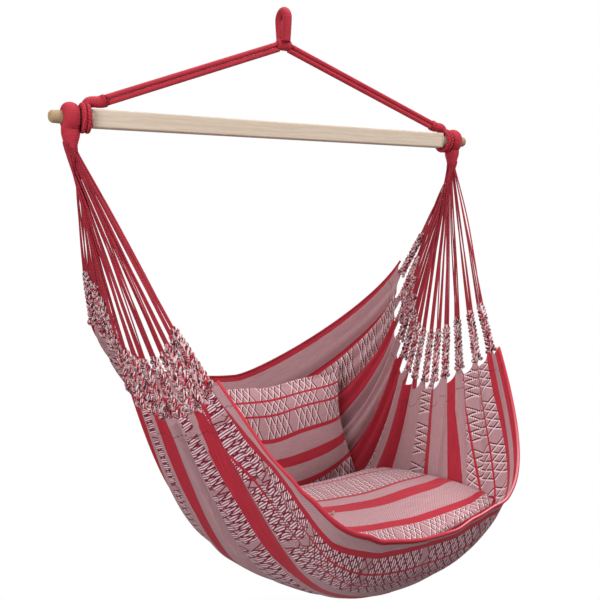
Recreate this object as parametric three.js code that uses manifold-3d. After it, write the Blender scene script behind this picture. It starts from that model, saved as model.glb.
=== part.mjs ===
// Hammock chair: a hanging loop, two rope legs, a spreader bar, and a cloth seat with two loose
// cushions, hung from the bar's ends by fanned strings and plaited cords.
// Millimetres, +Z up. The origin is where the hook bears, at the top inside the hanging loop.
// X runs along the bar, and the sitter faces -Y.

import * as THREE from 'three';
import { mergeVertices } from 'three/addons/utils/BufferGeometryUtils.js';
import Module from 'manifold-3d';

const wasm = await Module();
wasm.setup();

// Clearances between pieces
const touchGap = 0.3;
const runningGap = 0.5;
const cutOverrun = 2;

// Hanging loop, in the plane of Y and Z
const loopStrand = 22;
const loopEye = 14;
const loopHeight = 63;
const loopLegGap = 1.2;
const loopOffset = 12;

// Knot under the loop, a served barrel along X that the swing turns on
const knotRadius = 12.5;
const knotLength = 34;
const knotRound = 4;

// Rope legs, two cords each, from the knot down to the collars at the bar's ends
const cordDiameter = 11;
const cordSpacing = 11.5;
const ropeRise = 159;

// Spreader bar with turned ends
const barDrop = 258;
const barHeight = 38;
const barDepth = 28;
const barShoulder = 465;
const barTip = 547;
const barEdgeRadius = 4;
const barEndChamfer = 3;
const spigotRoot = 33;
const spigotTip = 25;
const spigotDome = 7;

// Lashing rings beside the bar's shoulders, with the collars that the ropes enter
const lashingWidth = 19;
const lashingDiameter = 62;
const collarRadius = 13.5;
const collarReach = 32;

// Served eyes that hang on the turned ends
const eyeWidth = 36;
const eyeDiameter = 61;
const eyeNeckRadius = 12.8;
const eyeNeckDrop = 62;
const eyeShoulderDrop = 32;
const eyeInset = 2;

// Strings that fan out from the necks
const neckBundleLength = 44;
const neckBundleRadius = 12.5;
const stringRadius = 2.3;
const stringSpread = 7;
const stringPairSpacing = 8;
const stringRootShare = 0.7;
const bundleWaistShare = 0.4;

// Plaited cords that gather the cloth
const braidCount = 13;
const braidLength = 135;
const braidRadius = 8;
const braidTopRadius = 6;
const braidTipRadius = 4;
const braidShoulder = 16;

// Cloth seat, one sheet
const clothThickness = 3;
const slingHalfWidth = 343;
const slingReach = 540;
const slingDrop = 1050;
const foldDepth = 9;
const foldReach = 330;
const halfSheetShare = 1.7;
const edgeCordRadius = 3;

// Cushions
const seatHalfWidth = 240;
const seatHalfDepth = 235;
const seatCrown = 50;
const seatBelly = 125;
const seatCurlFront = 88;
const seatCurlBack = 10;
const seatDrawIn = 13;
const seatRowShare = 0.331;
const seatRise = 171;
const seatTilt = 4;
const backHalfWidth = 250;
const backHalfHeight = 178;
const backCrown = 52;
const backBelly = 62;
const backCurlFoot = 40;
const backCurlTop = 20;
const backFootLift = 75;
const backDrawIn = 12;
const backRowShare = 0.75;
const backRise = 129;
const backStandOff = 108;
const backTilt = 18.5;
const seatPressGap = 6.2;
const backPressGap = 0.7;
const pressReach = 160;

// The sheet's two gathered ends, as rows from the front edge to the back edge: the row's share of the
// sheet, then the place of its end as shares of slingHalfWidth, slingReach and slingDrop
const rightEndShares = [
  [0.00, 1.000, -0.654, 0.470],
  [0.15, 0.948, -0.500, 0.519],
  [0.30, 0.948, -0.315, 0.571],
  [0.45, 1.006, -0.130, 0.595],
  [0.60, 1.064, 0.037, 0.581],
  [0.75, 1.122, 0.139, 0.505],
  [0.88, 1.195, 0.204, 0.419],
  [1.00, 1.283, 0.250, 0.314],
];
// The left end hangs lower at its back corner
const leftEndShares = [
  ...rightEndShares.slice(0, 5),
  [0.75, 1.122, 0.120, 0.505],
  [0.88, 1.195, 0.185, 0.448],
  [1.00, 1.283, 0.250, 0.410],
];
// The sheet's middle line: row, place as shares of slingReach and slingDrop, then the length of the
// level stretch as a share of slingHalfWidth and the pull of the strings as a share of slingDrop
const middleShares = [
  [0.00, -1.000, 0.758, 0.618, 0.352],
  [0.07, -0.926, 0.840, 0.641, 0.345],
  [0.20, -0.741, 0.917, 0.510, 0.330],
  [0.35, -0.439, 0.976, 0.466, 0.324],
  [0.50, -0.065, 1.000, 0.583, 0.324],
  [0.65, 0.246, 0.955, 0.598, 0.310],
  [0.82, 0.444, 0.815, 0.437, 0.250],
  [1.00, 0.572, 0.617, 0.219, 0.171],
];

// Facets
const ropeSides = 10;
const stringSides = 6;
const bundleSides = 12;
const loopSteps = 40;
const braidSides = 8;
const ringSides = 28;
const ringSteps = 8;
const neckSides = 14;
const clothSteps = 10;
const foldSteps = 2;
const cushionSteps = 9;
const smallShare = 0.01;

const neckX = barShoulder + runningGap + lashingWidth + eyeInset + eyeWidth / 2;
const halfTurn = Math.PI;
const fullTurn = 2 * Math.PI;
const radians = THREE.MathUtils.degToRad;

const red = new THREE.Color(0.56, 0.055, 0.085);
const acrossY = new THREE.Vector3(0, 1, 0);
const model = new THREE.Group();

// The chair hangs from the knot: its own frame has its origin at the middle of the bar
const chair = new THREE.Group();
chair.position.set(loopOffset, 0, -barDrop);
model.add(chair);

function finish(color, roughness) {
  return new THREE.MeshStandardMaterial({ color, roughness, metalness: 0 });
}

const ropeFinish = () => finish(red, 0.85);
const marlFinish = () => finish(new THREE.Color(0.48, 0.25, 0.29), 0.9);
const clothFinish = () => finish(new THREE.Color(0.5, 0.26, 0.31), 0.9);
const woodFinish = () => finish(new THREE.Color(0.66, 0.5, 0.34), 0.55);

function addPiece(parent, name, geometry, material) {
  const mesh = new THREE.Mesh(geometry, material);
  mesh.name = name;
  parent.add(mesh);
  return mesh;
}

// A closed geometry becomes a solid that can be joined and cut
function solidOf(geometry) {
  const bare = geometry.clone();
  bare.deleteAttribute('normal');
  bare.deleteAttribute('uv');
  const merged = mergeVertices(bare);
  const vertProperties = new Float32Array(merged.attributes.position.array);
  const triVerts = new Uint32Array(merged.index.array);
  return new wasm.Manifold(new wasm.Mesh({ numProp: 3, vertProperties, triVerts }));
}

function geometryOf(solid) {
  const mesh = solid.getMesh();
  const geometry = new THREE.BufferGeometry();
  geometry.setAttribute('position', new THREE.BufferAttribute(mesh.vertProperties, 3));
  geometry.setIndex(new THREE.BufferAttribute(mesh.triVerts, 1));
  geometry.computeVertexNormals();
  return geometry;
}

function indexedGeometry(points, faces) {
  const geometry = new THREE.BufferGeometry();
  geometry.setAttribute('position', new THREE.Float32BufferAttribute(points.flatMap((p) => p.toArray()), 3));
  geometry.setIndex(faces);
  geometry.computeVertexNormals();
  return geometry;
}

// A closed body through rings of points, with flat ends
function loft(rings) {
  const sides = rings[0].length;
  const points = rings.flat();
  const faces = [];
  for (let ring = 0; ring + 1 < rings.length; ring += 1) {
    for (let side = 0; side < sides; side += 1) {
      const next = (side + 1) % sides;
      const low = ring * sides;
      const high = low + sides;
      faces.push(low + side, low + next, high + next, low + side, high + next, high + side);
    }
  }
  const last = (rings.length - 1) * sides;
  for (let side = 1; side + 1 < sides; side += 1) {
    faces.push(0, side + 1, side, last, last + side, last + side + 1);
  }
  return indexedGeometry(points, faces);
}

// A ring of points round a centre, square to a direction
function ringAt(centre, direction, radius, sides, across) {
  const first = across.clone().projectOnPlane(direction).normalize();
  const second = direction.clone().normalize().cross(first);
  return Array.from({ length: sides }, (unused, side) => {
    const angle = (fullTurn * side) / sides;
    return centre.clone()
      .addScaledVector(first, radius * Math.cos(angle))
      .addScaledVector(second, radius * Math.sin(angle));
  });
}

// A round cord through the given points
function cordThrough(points, radius, sides, across) {
  const rings = points.map((point, index) => {
    const before = points[Math.max(index - 1, 0)];
    const after = points[Math.min(index + 1, points.length - 1)];
    return ringAt(point, after.clone().sub(before), radius, sides, across);
  });
  return loft(rings);
}

// A body turned about the X axis from a profile of [place along X, radius]
function turnedAboutX(profile, sides) {
  const outline = profile.map(([along, radius]) => new THREE.Vector2(radius, along));
  const geometry = new THREE.LatheGeometry(outline, sides);
  geometry.rotateZ(-halfTurn / 2);
  return geometry;
}

// Points of a rounded corner between two radii of a turned profile
function roundedEdge(along, radius, size, fromDegrees, toDegrees, steps) {
  return Array.from({ length: steps + 1 }, (unused, step) => {
    const angle = radians(fromDegrees + ((toDegrees - fromDegrees) * step) / steps);
    return [along + size * Math.cos(angle), radius + size * Math.sin(angle)];
  });
}

function hangingLoop() {
  const spread = (loopEye + loopStrand) / 2;
  const legSpread = (loopStrand + loopLegGap) / 2;
  const top = loopStrand / 2;
  const centreDrop = spread - top;
  const legFoot = loopHeight - touchGap;
  const half = [
    new THREE.Vector3(0, legSpread, -legFoot),
    new THREE.Vector3(0, legSpread, -legFoot + knotRadius),
    new THREE.Vector3(0, (spread + legSpread) / 2, -(legFoot + centreDrop) / 2),
  ];
  const bow = Array.from({ length: 5 }, (unused, step) => {
    const angle = (halfTurn * step) / 8;
    return new THREE.Vector3(0, spread * Math.cos(angle), spread * Math.sin(angle) - centreDrop);
  });
  const right = [...half, ...bow];
  const left = right.slice(0, -1).reverse().map((p) => new THREE.Vector3(p.x, -p.y, p.z));
  const path = new THREE.CatmullRomCurve3([...right, ...left], false, 'centripetal');
  const round = new THREE.EllipseCurve(0, 0, loopStrand / 2, loopStrand / 2);
  const section = new THREE.Shape(round.getPoints(bundleSides));
  const strand = new THREE.ExtrudeGeometry(section, {
    steps: loopSteps,
    bevelEnabled: false,
    extrudePath: path,
  });
  const seat = new THREE.CylinderGeometry(
    knotRadius + touchGap, knotRadius + touchGap, loopStrand + cutOverrun, ringSides);
  seat.rotateZ(halfTurn / 2);
  seat.translate(0, 0, -loopHeight);
  return geometryOf(solidOf(strand).subtract(solidOf(seat)));
}

function knotProfile(gap) {
  const half = knotLength / 2 + gap;
  const radius = knotRadius + gap;
  return [
    [-half, 0],
    ...roundedEdge(-half + knotRound, radius - knotRound, knotRound, 180, 90, 3),
    ...roundedEdge(half - knotRound, radius - knotRound, knotRound, 90, 0, 3),
    [half, 0],
  ];
}

// Where a rope leg's middle line enters its collar
const collarMouth = new THREE.Vector3(barShoulder - collarReach, 0, barHeight / 2 + touchGap + collarRadius
  + Math.tan(Math.atan2(ropeRise, barShoulder)) * collarReach / 2);
const knotCentre = new THREE.Vector3(-loopOffset, 0, barDrop - loopHeight);

function ropeCord(side, rank) {
  const mouth = collarMouth.clone();
  mouth.x *= side;
  const along = mouth.clone().sub(knotCentre).normalize();
  const across = new THREE.Vector3(0, side, 0).cross(along);
  const start = knotCentre.clone()
    .addScaledVector(along, knotLength / 2 - cutOverrun)
    .addScaledVector(across, (rank * cordSpacing) / 2);
  const end = mouth.clone()
    .addScaledVector(along, -touchGap)
    .addScaledVector(across, (rank * cordSpacing) / 2);
  const cord = cordThrough([start, end], cordDiameter / 2, ropeSides, acrossY);
  const knot = turnedAboutX(knotProfile(touchGap), ringSides);
  knot.translate(...knotCentre.toArray());
  return geometryOf(solidOf(cord).subtract(solidOf(knot)));
}

// The turned end's radius at a place along the bar
function spigotRadius(along) {
  const share = (along - barShoulder) / (barTip - barShoulder);
  return (spigotRoot + (spigotTip - spigotRoot) * share) / 2;
}

function spreaderBar() {
  const halfHeight = barHeight / 2 - barEdgeRadius;
  const halfDepth = barDepth / 2 - barEdgeRadius;
  const section = new THREE.Shape();
  section.moveTo(halfDepth, -barHeight / 2);
  section.absarc(halfDepth, -halfHeight, barEdgeRadius, -halfTurn / 2, 0, false);
  section.absarc(halfDepth, halfHeight, barEdgeRadius, 0, halfTurn / 2, false);
  section.absarc(-halfDepth, halfHeight, barEdgeRadius, halfTurn / 2, halfTurn, false);
  section.absarc(-halfDepth, -halfHeight, barEdgeRadius, halfTurn, halfTurn * 1.5, false);
  const length = 2 * (barShoulder - barEndChamfer);
  const block = new THREE.ExtrudeGeometry(section, {
    depth: length,
    curveSegments: 4,
    bevelThickness: barEndChamfer,
    bevelSize: barEndChamfer,
    bevelOffset: -barEndChamfer,
    bevelSegments: 1,
  });
  block.translate(0, 0, -length / 2);
  block.rotateY(halfTurn / 2);
  block.rotateX(halfTurn / 2);
  const root = barShoulder - barEndChamfer - cutOverrun;
  let bar = solidOf(block);
  const half = [
    [root, spigotRadius(root)],
    [barTip - spigotDome, spigotRadius(barTip - spigotDome)],
    ...[0.55, 0.85, 0.97].map((share) => [
      barTip - spigotDome * (1 - share),
      spigotRadius(barTip) * Math.sqrt(1 - share * share * 0.75),
    ]),
  ];
  for (const side of [-1, 1]) {
    const profile = [[root, 0], ...half, [barTip, 0]].map(([along, radius]) => [side * along, radius]);
    if (side < 0) profile.reverse();
    bar = bar.add(solidOf(turnedAboutX(profile, ringSides)));
  }
  return geometryOf(bar);
}

// A rounded ring about the turned end, to be cut by spigotCutter
function ringOnSpigot(inner, outer, diameter) {
  const core = spigotTip / 2 - cutOverrun;
  const crest = Array.from({ length: ringSteps + 1 }, (unused, step) => {
    const angle = (halfTurn * step) / ringSteps;
    const along = (inner + outer - (outer - inner) * Math.cos(angle)) / 2;
    const bore = spigotRadius(along) + runningGap;
    return [along, bore + (diameter / 2 - bore) * Math.sin(angle)];
  });
  return solidOf(turnedAboutX([[inner, core], ...crest, [outer, core], [inner, core]], ringSides));
}

// The turned end with its running gap, for cutting what sits on it
function spigotCutter() {
  const profile = [barShoulder - cutOverrun, barTip + cutOverrun].map((along) => (
    [along, spigotRadius(along) + runningGap]));
  const [[root], [end]] = profile;
  return solidOf(turnedAboutX([[root, 0], ...profile, [end, 0]], ringSides));
}

function lashing() {
  const inner = barShoulder + runningGap;
  const ring = ringOnSpigot(inner, inner + lashingWidth, lashingDiameter);
  const along = collarMouth.clone().sub(knotCentre).normalize();
  const ringTop = new THREE.Vector3(inner + lashingWidth / 2, 0, lashingDiameter / 2 - lashingWidth / 2);
  const bend = new THREE.Vector3(inner, 0, collarMouth.z - collarRadius / 2);
  const path = new THREE.CatmullRomCurve3([
    collarMouth,
    collarMouth.clone().addScaledVector(along, collarReach / 3),
    bend,
    ringTop,
  ]);
  const rings = Array.from({ length: ringSteps + 1 }, (unused, step) => {
    const share = step / ringSteps;
    const radius = collarRadius + (lashingWidth / 2 - collarRadius) * share;
    return ringAt(path.getPoint(share), path.getTangent(share), radius, bundleSides, acrossY);
  });
  const block = new THREE.BoxGeometry(barShoulder, barDepth + 2 * touchGap, barHeight + 2 * touchGap);
  block.translate(barShoulder / 2 + touchGap, 0, 0);
  return ring.add(solidOf(loft(rings))).subtract(solidOf(block)).subtract(spigotCutter());
}

const eyeInner = neckX - eyeWidth / 2;

function servedEye() {
  const ring = ringOnSpigot(eyeInner, eyeInner + eyeWidth, eyeDiameter);
  const neck = new THREE.LatheGeometry([
    new THREE.Vector2(0, -eyeNeckDrop),
    new THREE.Vector2(eyeNeckRadius, -eyeNeckDrop),
    new THREE.Vector2((eyeNeckRadius + eyeWidth / 2) / 2, -(eyeNeckDrop + eyeShoulderDrop) / 2),
    new THREE.Vector2(eyeWidth / 2, -eyeShoulderDrop),
    new THREE.Vector2(eyeWidth / 2 - eyeInset, -spigotRoot / 2),
    new THREE.Vector2(0, -spigotRoot / 2),
  ], neckSides);
  neck.rotateX(halfTurn / 2);
  neck.translate(neckX, 0, 0);
  return ring.add(solidOf(neck)).subtract(spigotCutter());
}

// A value at a share along a table of rows, on one smooth curve through them
function between(table, share) {
  const last = table.length - 1;
  let row = 0;
  while (row < last - 1 && share > table[row + 1][0]) row += 1;
  const slope = (index, column) => {
    const before = table[Math.max(index - 1, 0)];
    const after = table[Math.min(index + 1, last)];
    return (after[column] - before[column]) / (after[0] - before[0]);
  };
  const step = table[row + 1][0] - table[row][0];
  const t = (share - table[row][0]) / step;
  return table[row].slice(1).map((value, index) => {
    const column = index + 1;
    return (2 * t ** 3 - 3 * t ** 2 + 1) * value
      + (t ** 3 - 2 * t ** 2 + t) * step * slope(row, column)
      + (3 * t ** 2 - 2 * t ** 3) * table[row + 1][column]
      + (t ** 3 - t ** 2) * step * slope(row + 1, column);
  });
}

const neckPoint = (side) => new THREE.Vector3(side * neckX, 0, -eyeNeckDrop - neckBundleLength);

// A row's end, where the cloth is gathered into the plaited cords
function endPoint(side, row) {
  const [out, fore, drop] = between(side > 0 ? rightEndShares : leftEndShares, row);
  return new THREE.Vector3(side * out * slingHalfWidth, fore * slingReach, -drop * slingDrop);
}

// The sheet without its folds: across runs from -1 at the left end to 1 at the right end
function sheetPoint(across, row) {
  const side = across < 0 ? -1 : 1;
  const t = Math.abs(across);
  const [fore, drop, level, pull] = between(middleShares, row);
  const middle = new THREE.Vector3(0, fore * slingReach, -drop * slingDrop);
  const levelEnd = middle.clone();
  levelEnd.x = side * level * slingHalfWidth;
  const end = endPoint(side, row);
  const towardsNeck = neckPoint(side).sub(end).normalize();
  const pulled = end.clone().addScaledVector(towardsNeck, -pull * slingDrop);
  return new THREE.CubicBezierCurve3(middle, levelEnd, pulled, end).getPoint(t);
}

function sheetNormal(across, row) {
  const low = Math.max(row - smallShare, 0);
  const high = Math.min(row + smallShare, 1);
  const left = Math.max(across - smallShare, -1);
  const right = Math.min(across + smallShare, 1);
  const alongRow = sheetPoint(right, row).sub(sheetPoint(left, row));
  const alongColumn = sheetPoint(across, high).sub(sheetPoint(across, low));
  return alongRow.cross(alongColumn).normalize();
}

// The folds start at the plaited cords and run out towards the middle of the seat
function foldAt(across, row) {
  const toEnd = (1 - Math.abs(across)) * slingHalfWidth * halfSheetShare;
  const fade = Math.max(1 - toEnd / foldReach, 0) ** 1.5;
  const atEdge = row <= 0 || row >= 1;
  return atEdge ? 0 : -foldDepth * fade * Math.cos(fullTurn * braidCount * row);
}

function clothPoint(across, row) {
  return sheetPoint(across, row).addScaledVector(sheetNormal(across, row), foldAt(across, row));
}

const clothRows = braidCount * foldSteps;

function clothShell() {
  const columns = 2 * clothSteps;
  const points = [];
  const faces = [];
  const width = clothRows + 1;
  for (const face of [1, -1]) {
    for (let column = 0; column <= columns; column += 1) {
      for (let row = 0; row <= clothRows; row += 1) {
        const across = column / clothSteps - 1;
        const share = row / clothRows;
        const normal = sheetNormal(across, share);
        points.push(clothPoint(across, share).addScaledVector(normal, (face * clothThickness) / 2));
      }
    }
  }
  const under = (columns + 1) * width;
  const quad = (a, b, c, d) => faces.push(a, b, c, a, c, d);
  for (let column = 0; column < columns; column += 1) {
    for (let row = 0; row < clothRows; row += 1) {
      const at = column * width + row;
      quad(at, at + width, at + width + 1, at + 1);
      quad(under + at, under + at + 1, under + at + width + 1, under + at + width);
    }
  }
  for (let column = 0; column < columns; column += 1) {
    const front = column * width;
    const back = front + clothRows;
    quad(front, under + front, under + front + width, front + width);
    quad(back, back + width, under + back + width, under + back);
  }
  for (let row = 0; row < clothRows; row += 1) {
    const right = columns * width + row;
    quad(row, row + 1, under + row + 1, under + row);
    quad(right, under + right, under + right + 1, right + 1);
  }
  return indexedGeometry(points, faces);
}

// The cord in the sheet's front or back edge
function edgeCord(row) {
  const inward = row > 0 ? -1 : 1;
  const points = Array.from({ length: 2 * clothSteps + 1 }, (unused, column) => {
    const across = column / clothSteps - 1;
    const at = sheetPoint(across, row);
    const before = sheetPoint(Math.max(across - 1 / clothSteps, -1), row);
    const after = sheetPoint(Math.min(across + 1 / clothSteps, 1), row);
    const strip = at.clone().sub(clothPoint(across, row + inward / clothRows));
    const square = strip.projectOnPlane(sheetNormal(across, row)).projectOnPlane(after.sub(before));
    return at.addScaledVector(square.normalize(), edgeCordRadius + 3 * touchGap);
  });
  return cordThrough(points, edgeCordRadius, stringSides, acrossY);
}

const braidRow = (index) => (index + 0.5) / braidCount;

// Where a plaited cord ends at the cloth, which way it runs, and which way the cloth's end lies
function braidPlace(side, index) {
  const row = braidRow(index);
  const foot = clothPoint(side, row);
  const along = neckPoint(side).sub(foot).normalize();
  const lie = endPoint(side, row + smallShare).sub(endPoint(side, row - smallShare)).normalize();
  const slope = Math.abs(lie.dot(along));
  const gap = touchGap + (braidTipRadius * slope) / Math.sqrt(1 - slope * slope);
  return { foot: foot.addScaledVector(along, gap), along, lie };
}

function braid(side, index) {
  const { foot, along, lie } = braidPlace(side, index);
  const stations = [
    [0, braidTipRadius],
    [braidShoulder, braidRadius],
    [braidLength / 2, braidRadius],
    [braidLength - braidShoulder, braidTopRadius],
    [braidLength, stringPairSpacing / 2],
  ];
  return loft(stations.map(([distance, radius]) => (
    ringAt(foot.clone().addScaledVector(along, distance), along, radius, braidSides, lie))));
}

function harness(side) {
  const top = new THREE.Vector3(side * neckX, 0, -eyeNeckDrop - touchGap);
  const bottom = neckPoint(side);
  const up = top.clone().sub(bottom);
  const acrossX = new THREE.Vector3(1, 0, 0);
  const bundle = loft([
    ringAt(bottom, up, stringSpread, bundleSides, acrossX),
    ringAt(top.clone().lerp(bottom, bundleWaistShare), up, neckBundleRadius, bundleSides, acrossX),
    ringAt(top, up, neckBundleRadius - eyeInset, bundleSides, acrossX),
  ]);
  let solid = solidOf(bundle);
  for (let index = 0; index < braidCount; index += 1) {
    const { foot, along, lie } = braidPlace(side, index);
    const braidTop = foot.clone().addScaledVector(along, braidLength + touchGap);
    for (const hand of [-1, 1]) {
      const beside = lie.clone().projectOnPlane(along).normalize();
      const end = braidTop.clone().addScaledVector(beside, (hand * stringPairSpacing) / 4);
      const angle = fullTurn * ((index + (hand + 1) / 4) / braidCount);
      const start = bottom.clone().lerp(top, 0.5);
      start.x += stringSpread * stringRootShare * Math.cos(angle);
      start.y += stringSpread * stringRootShare * Math.sin(angle);
      solid = solid.add(solidOf(cordThrough([end, start], stringRadius, stringSides, lie)));
    }
  }
  return geometryOf(solid);
}

// A pillow with a crown on both faces and sides drawn in between its corners. The curls lift its two
// sides at the near and the far edge, and the foot lift draws in the corners of the near edge.
function cushion({ halfWidth, halfDepth, crown, belly, nearCurl, farCurl, footLift, drawIn }) {
  const fullness = 0.55;
  const points = [];
  const faces = [];
  const count = 2 * cushionSteps;
  const index = new Map();
  const shareAt = (step) => Math.sin(((step / cushionSteps - 1) * halfTurn) / 2);
  for (const face of [1, -1]) {
    for (let i = 0; i <= count; i += 1) {
      for (let j = 0; j <= count; j += 1) {
        const onSeam = i === 0 || j === 0 || i === count || j === count;
        if (onSeam && face < 0) {
          index.set(`${face} ${i} ${j}`, index.get(`1 ${i} ${j}`));
          continue;
        }
        const a = shareAt(i);
        const b = shareAt(j);
        const swell = ((1 - a ** 4) * (1 - b ** 4)) ** fullness;
        const near = (1 - b) / 2;
        const curl = farCurl + (nearCurl - farCurl) * near;
        const depth = face > 0 ? crown * swell : -belly * swell ** 2;
        const height = curl * a * a + (onSeam ? 0 : depth);
        index.set(`${face} ${i} ${j}`, points.length);
        points.push(new THREE.Vector3(
          a * (halfWidth - drawIn * (1 - b * b)),
          b * (halfDepth - drawIn * (1 - a * a)) + footLift * a * a * near,
          height));
      }
    }
  }
  for (const face of [1, -1]) {
    for (let i = 0; i < count; i += 1) {
      for (let j = 0; j < count; j += 1) {
        const corner = (di, dj) => index.get(`${face} ${i + di} ${j + dj}`);
        const [a, b, c, d] = [corner(0, 0), corner(1, 0), corner(1, 1), corner(0, 1)];
        if (face > 0) faces.push(a, b, c, a, c, d);
        else faces.push(a, c, b, a, d, c);
      }
    }
  }
  return indexedGeometry(points, faces);
}

// How far along a direction the nearest of the carriers lies from a spot, which may be just beyond it
function roomBelow(spot, carriers, towards) {
  const caster = new THREE.Raycaster(spot.clone().addScaledVector(towards, -pressReach), towards);
  const hits = caster.intersectObjects(carriers).map((hit) => hit.distance - pressReach);
  return Math.min(Infinity, ...hits);
}

// Moves a soft cushion along a direction until it lies on what carries it, and lets it give way where
// the carrier stands proud
function pressOnto(geometry, carriers, direction, gap) {
  const towards = direction.clone().normalize();
  const spots = geometry.attributes.position;
  let least = Infinity;
  for (let i = 0; i < spots.count; i += 1) {
    const spot = new THREE.Vector3().fromBufferAttribute(spots, i);
    const room = roomBelow(spot, carriers, towards);
    const give = Math.max(gap - room, 0);
    spot.addScaledVector(towards, -give);
    spots.setXYZ(i, spot.x, spot.y, spot.z);
    least = Math.min(least, room + give);
  }
  geometry.translate(...towards.multiplyScalar(least - gap).toArray());
  geometry.computeVertexNormals();
}

addPiece(model, 'hanging_loop', hangingLoop(), ropeFinish());
const knotGeometry = turnedAboutX(knotProfile(0), ringSides);
knotGeometry.translate(...knotCentre.toArray());
addPiece(chair, 'loop_knot', geometryOf(solidOf(knotGeometry)), ropeFinish());
addPiece(chair, 'spreader_bar', spreaderBar(), woodFinish());

const cloth = addPiece(chair, 'sling_cloth', clothShell(), clothFinish());
cloth.material.side = THREE.DoubleSide;
const frontCord = addPiece(chair, 'front_edge_cord', edgeCord(0), ropeFinish());
addPiece(chair, 'back_edge_cord', edgeCord(1), ropeFinish());

const lashingSolid = lashing();
const eyeSolid = servedEye();
for (const [side, hand] of [[-1, 'left'], [1, 'right']]) {
  const sided = (solid) => geometryOf(side > 0 ? solid : solid.mirror([1, 0, 0]));
  addPiece(chair, `rope_${hand}_upper`, ropeCord(side, 1), ropeFinish());
  addPiece(chair, `rope_${hand}_lower`, ropeCord(side, -1), ropeFinish());
  addPiece(chair, `lashing_${hand}`, sided(lashingSolid), ropeFinish());
  addPiece(chair, `eye_${hand}`, sided(eyeSolid), ropeFinish());
  addPiece(chair, `harness_${hand}`, harness(side), ropeFinish());
  for (let index = 0; index < braidCount; index += 1) {
    const number = String(index + 1).padStart(2, '0');
    addPiece(chair, `braid_${hand}_${number}`, braid(side, index), marlFinish());
  }
}

const backCushion = cushion({
  halfWidth: backHalfWidth,
  halfDepth: backHalfHeight,
  crown: backCrown,
  belly: backBelly,
  nearCurl: backCurlFoot,
  farCurl: backCurlTop,
  footLift: backFootLift,
  drawIn: backDrawIn,
});
backCushion.rotateX(halfTurn / 2 - radians(backTilt));
backCushion.translate(...sheetPoint(0, backRowShare).toArray());
backCushion.translate(0, -backStandOff, backRise);
const intoBack = new THREE.Vector3(0, Math.cos(radians(backTilt)), -Math.sin(radians(backTilt)));
pressOnto(backCushion, [cloth], intoBack, backPressGap);
addPiece(chair, 'back_cushion', backCushion, clothFinish());

const seatCushion = cushion({
  halfWidth: seatHalfWidth,
  halfDepth: seatHalfDepth,
  crown: seatCrown,
  belly: seatBelly,
  nearCurl: seatCurlFront,
  farCurl: seatCurlBack,
  footLift: 0,
  drawIn: seatDrawIn,
});
seatCushion.rotateX(-radians(seatTilt));
seatCushion.translate(...sheetPoint(0, seatRowShare).toArray());
seatCushion.translate(0, 0, seatRise);
pressOnto(seatCushion, [cloth, frontCord], new THREE.Vector3(0, 0, -1), seatPressGap);
addPiece(chair, 'seat_cushion', seatCushion, clothFinish());

export default model;
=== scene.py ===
import math

import bmesh
import bpy
import numpy as np
from mathutils import Matrix, Vector
from mathutils.bvhtree import BVHTree
from mathutils.noise import noise


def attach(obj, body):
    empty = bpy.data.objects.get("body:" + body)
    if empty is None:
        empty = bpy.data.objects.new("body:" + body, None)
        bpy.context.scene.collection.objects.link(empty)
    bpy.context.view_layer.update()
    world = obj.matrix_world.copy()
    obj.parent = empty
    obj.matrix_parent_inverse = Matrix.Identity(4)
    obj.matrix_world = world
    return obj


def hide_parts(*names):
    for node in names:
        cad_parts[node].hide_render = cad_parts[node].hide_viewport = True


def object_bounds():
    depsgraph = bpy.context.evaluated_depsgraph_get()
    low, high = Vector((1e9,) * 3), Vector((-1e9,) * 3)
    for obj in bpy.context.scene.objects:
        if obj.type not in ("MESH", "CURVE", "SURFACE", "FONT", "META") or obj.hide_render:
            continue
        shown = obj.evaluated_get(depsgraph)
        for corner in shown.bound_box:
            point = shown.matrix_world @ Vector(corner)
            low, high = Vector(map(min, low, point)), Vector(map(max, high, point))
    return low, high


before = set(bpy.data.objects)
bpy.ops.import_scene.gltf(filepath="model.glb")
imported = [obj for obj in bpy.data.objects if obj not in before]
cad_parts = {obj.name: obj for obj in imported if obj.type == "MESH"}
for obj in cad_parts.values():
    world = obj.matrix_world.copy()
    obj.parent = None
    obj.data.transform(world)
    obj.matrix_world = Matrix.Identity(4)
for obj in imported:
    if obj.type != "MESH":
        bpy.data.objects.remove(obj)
cadLow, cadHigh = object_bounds()
print("frame loaded:", len(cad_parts), "nodes")

# The chair's own frame is the solid model's: the middle of the bar, in metres
barCentre = Vector((0.012, 0, -0.258))
upAxis = Vector((0, 0, 1))


def chairPoint(x, y, z):
    return Vector((x, y, z)) + barCentre


# ------- camera, floor, light

cameraSet = {"place": (-0.864, -1.573, -0.452), "pitchDown": 6.54, "yaw": 30.0, "lens": 45.0}
cameraData = bpy.data.cameras.new("photoCamera")
cameraData.lens = cameraSet["lens"]
cameraData.sensor_width = 36
camera = bpy.data.objects.new("photoCamera", cameraData)
camera.location = cameraSet["place"]
camera.rotation_euler = (math.radians(90 - cameraSet["pitchDown"]), 0, -math.radians(cameraSet["yaw"]))
bpy.context.scene.collection.objects.link(camera)
bpy.context.scene.camera = camera
bpy.context.scene.view_settings.view_transform = "Standard"


def link(tree, source, target):
    tree.links.new(source, target)


def addNode(tree, kind, place=(0, 0), **values):
    node = tree.nodes.new(kind)
    node.location = place
    for name, value in values.items():
        setattr(node, name, value)
    return node


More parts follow.
